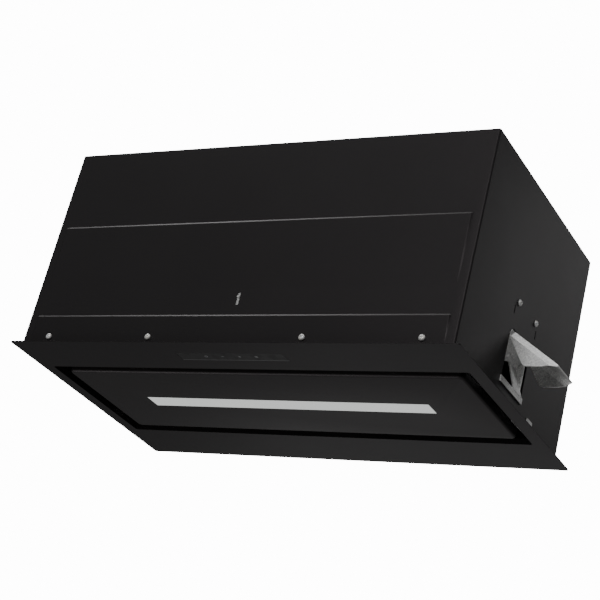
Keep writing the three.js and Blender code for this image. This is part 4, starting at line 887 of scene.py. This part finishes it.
# %% [markdown]
# ## Impeller
# The wheel draws air in at both ends and throws it out all round. Its blades curve forwards, thin at
# both edges and thickest in the middle. A blade is one closed outline, lofted along the shaft; it is
# turned round the axis once for every blade, and the rings, the disc and the hub are turned outlines.

# %% Impeller
BLADES = 24
BLADE_DEPTH = 0.009
SWEEP = 0.16  # how far a blade leans forward over its depth, in radians
HOOP = 0.002  # width of the end rings
BORE = 0.0043


def blade(inner, outer, sweep, ends, points=14):
    """
    One blade: at share s of its depth the radius goes from inner to outer, the lean is sweep * s ** 2
    and half a millimetre, and the half thickness is 0.12 mm + 0.43 mm * sqrt(sin(pi s)). Lofted
    between ends.
    """
    s = np.linspace(0, 1, points)
    radius = inner + (outer - inner) * s
    lean = sweep * s ** 2 + 0.0005 / radius
    half = (0.00012 + 0.00043 * np.sqrt(np.sin(np.pi * s))) / radius
    r = np.concatenate([radius, radius[::-1]])
    a = np.concatenate([lean - half, (lean + half)[::-1]])
    loop = np.stack([r * np.cos(a), r * np.sin(a)], axis=-1)
    made = [np.stack([np.full(len(loop), x), loop[:, 0], loop[:, 1]], axis=-1) for x in ends]
    faces = grid_faces(2, len(loop)).tolist()
    faces += [list(range(len(loop)))[::-1], list(range(len(loop), 2 * len(loop)))]
    return np.concatenate(made), faces


def spun(points, angle):
    """Points turned about the x axis."""
    c, s = np.cos(angle), np.sin(angle)
    x, y, z = points.T
    return np.stack([x, c * y - s * z, s * y + c * z], axis=-1)


_, half, rim = span("impeller", "x")
inner_rim = rim - BLADE_DEPTH
_, _, middle = corners_of("impeller")
axis = (0.0, middle[1], middle[2])
one, one_faces = blade(inner_rim + 0.0003, rim - 0.0003, SWEEP, (-half + 0.001, half - 0.001))
parts = [(spun(one, 2 * np.pi * i / BLADES) + axis, one_faces) for i in range(BLADES)]
for start, end in ((-half, -half + HOOP), (half - HOOP, half)):
    hoop = [(start, inner_rim), (start, rim), (end, rim), (end, inner_rim), (start, inner_rim)]
    parts.append(turned(rounded(hoop, 0.0004), "x", axis, 120))
hub = [(-0.010, BORE), (-0.010, 0.009), (-0.0012, 0.0095), (-0.001, rim), (0.001, rim),
       (0.0012, 0.0095), (0.0025, 0.009), (0.0025, BORE), (-0.010, BORE)]
parts.append(turned(rounded(hub, 0.0008), "x", axis, 120))
wheel = bpy.data.objects.new("impeller_wheel", mesh_of("impeller_wheel", *gathered(parts), 40))
settle(wheel, "impeller", slot_of["impeller"])
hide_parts("impeller")
print("impeller wheel", len(wheel.data.polygons), "faces")

# %% [markdown]
# ## Floor and sky
# A plain pale floor lies well below the hood. The background seen by the camera stays white, and
# what the sheets see of it is much dimmer, so that a black coat stays black.

# %% Floor and sky
def pale_floor(height, reach):
    """A flat square floor with a hint of mottling."""
    across = np.linspace(-reach, reach, 9)
    x, y = np.meshgrid(across, across, indexing="ij")
    points = np.stack([x, y, np.full_like(x, height)], axis=-1).reshape(-1, 3)
    mesh = bpy.data.meshes.new("floor")
    mesh.from_pydata(points.tolist(), [], flat_faces(*x.shape).tolist())
    floor = bpy.data.objects.new("floor", mesh)
    bpy.context.scene.collection.objects.link(floor)
    finish = Finish("floor_pale", Metallic=0.0)
    finish.colour(finish.noise(1.2, 3.0).mix((0.80, 0.80, 0.80), (0.84, 0.84, 0.84)))
    finish.rough(0.8 + 0.1 * finish.noise(4.0))
    mesh.materials.append(finish.material)


def sky(backdrop, fill):
    """World light: a white backdrop for the camera, a dimmer fill for everything else."""
    world = bpy.data.worlds.new("studio")
    bpy.context.scene.world = world
    world.use_nodes = True
    tree = world.node_tree
    path = node(tree, "ShaderNodeLightPath", {})
    strength = path * (backdrop - fill) + fill
    plug(tree, tree.nodes["Background"].inputs["Color"], (1.0, 1.0, 1.0))
    plug(tree, tree.nodes["Background"].inputs["Strength"], strength)


pale_floor(-2.2, 14.0)
sky(14.0, 0.095)
print("floor and sky are set")

# %% [markdown]
# ## Lights
# Satin black shows little but the lights that it mirrors, so each light has one sheet to serve. A
# large one in front and a small one on the left shade the front wall; one on the right and one behind
# shade the side wall; a strip low in front and a wide one low behind reach the underside from both
# edges. The one overhead and the high strip light the top, the pressed steps and the clip's bevel.

# %% Lights
def soft_light(name, place, target, size, power):
    """A rectangular area light at a place, facing a target."""
    lamp = bpy.data.lights.new(name, "AREA")
    lamp.shape = "RECTANGLE"
    lamp.size, lamp.size_y = size
    lamp.energy = power
    light = bpy.data.objects.new(name, lamp)
    aim = (Vector(target) - Vector(place)).to_track_quat("-Z", "Y")
    light.matrix_world = Matrix.Translation(place) @ aim.to_matrix().to_4x4()
    bpy.context.scene.collection.objects.link(light)


HOOD_MIDDLE = (0.0, 0.0, 0.11)
LIGHTS = [  # name, place, size, watts
    ("key_softbox", (2.8, -1.6, 2.4), (1.8, 1.8), 9),
    ("rear_softbox", (1.5, 2.9, 1.8), (1.2, 1.0), 3.3),
    ("front_softbox", (0.3, -3.1, 1.1), (1.8, 1.4), 31),
    ("left_softbox", (-2.3, -2.5, 1.4), (1.8, 1.4), 2),
    ("top_softbox", (-0.1, 0.1, 2.9), (2.0, 2.0), 24),
    ("high_strip", (-1.7, -0.1, 2.7), (2.4, 0.5), 40),
    ("low_strip", (-1.5, -1.2, -1.9), (1.6, 0.5), 15),
    ("back_low_softbox", (-1.0, 2.9, -0.7), (1.8, 0.6), 2.0),
]
for name, place, size, watts in LIGHTS:
    soft_light(name, place, HOOD_MIDDLE, size, watts)
print("lights:", len(LIGHTS))
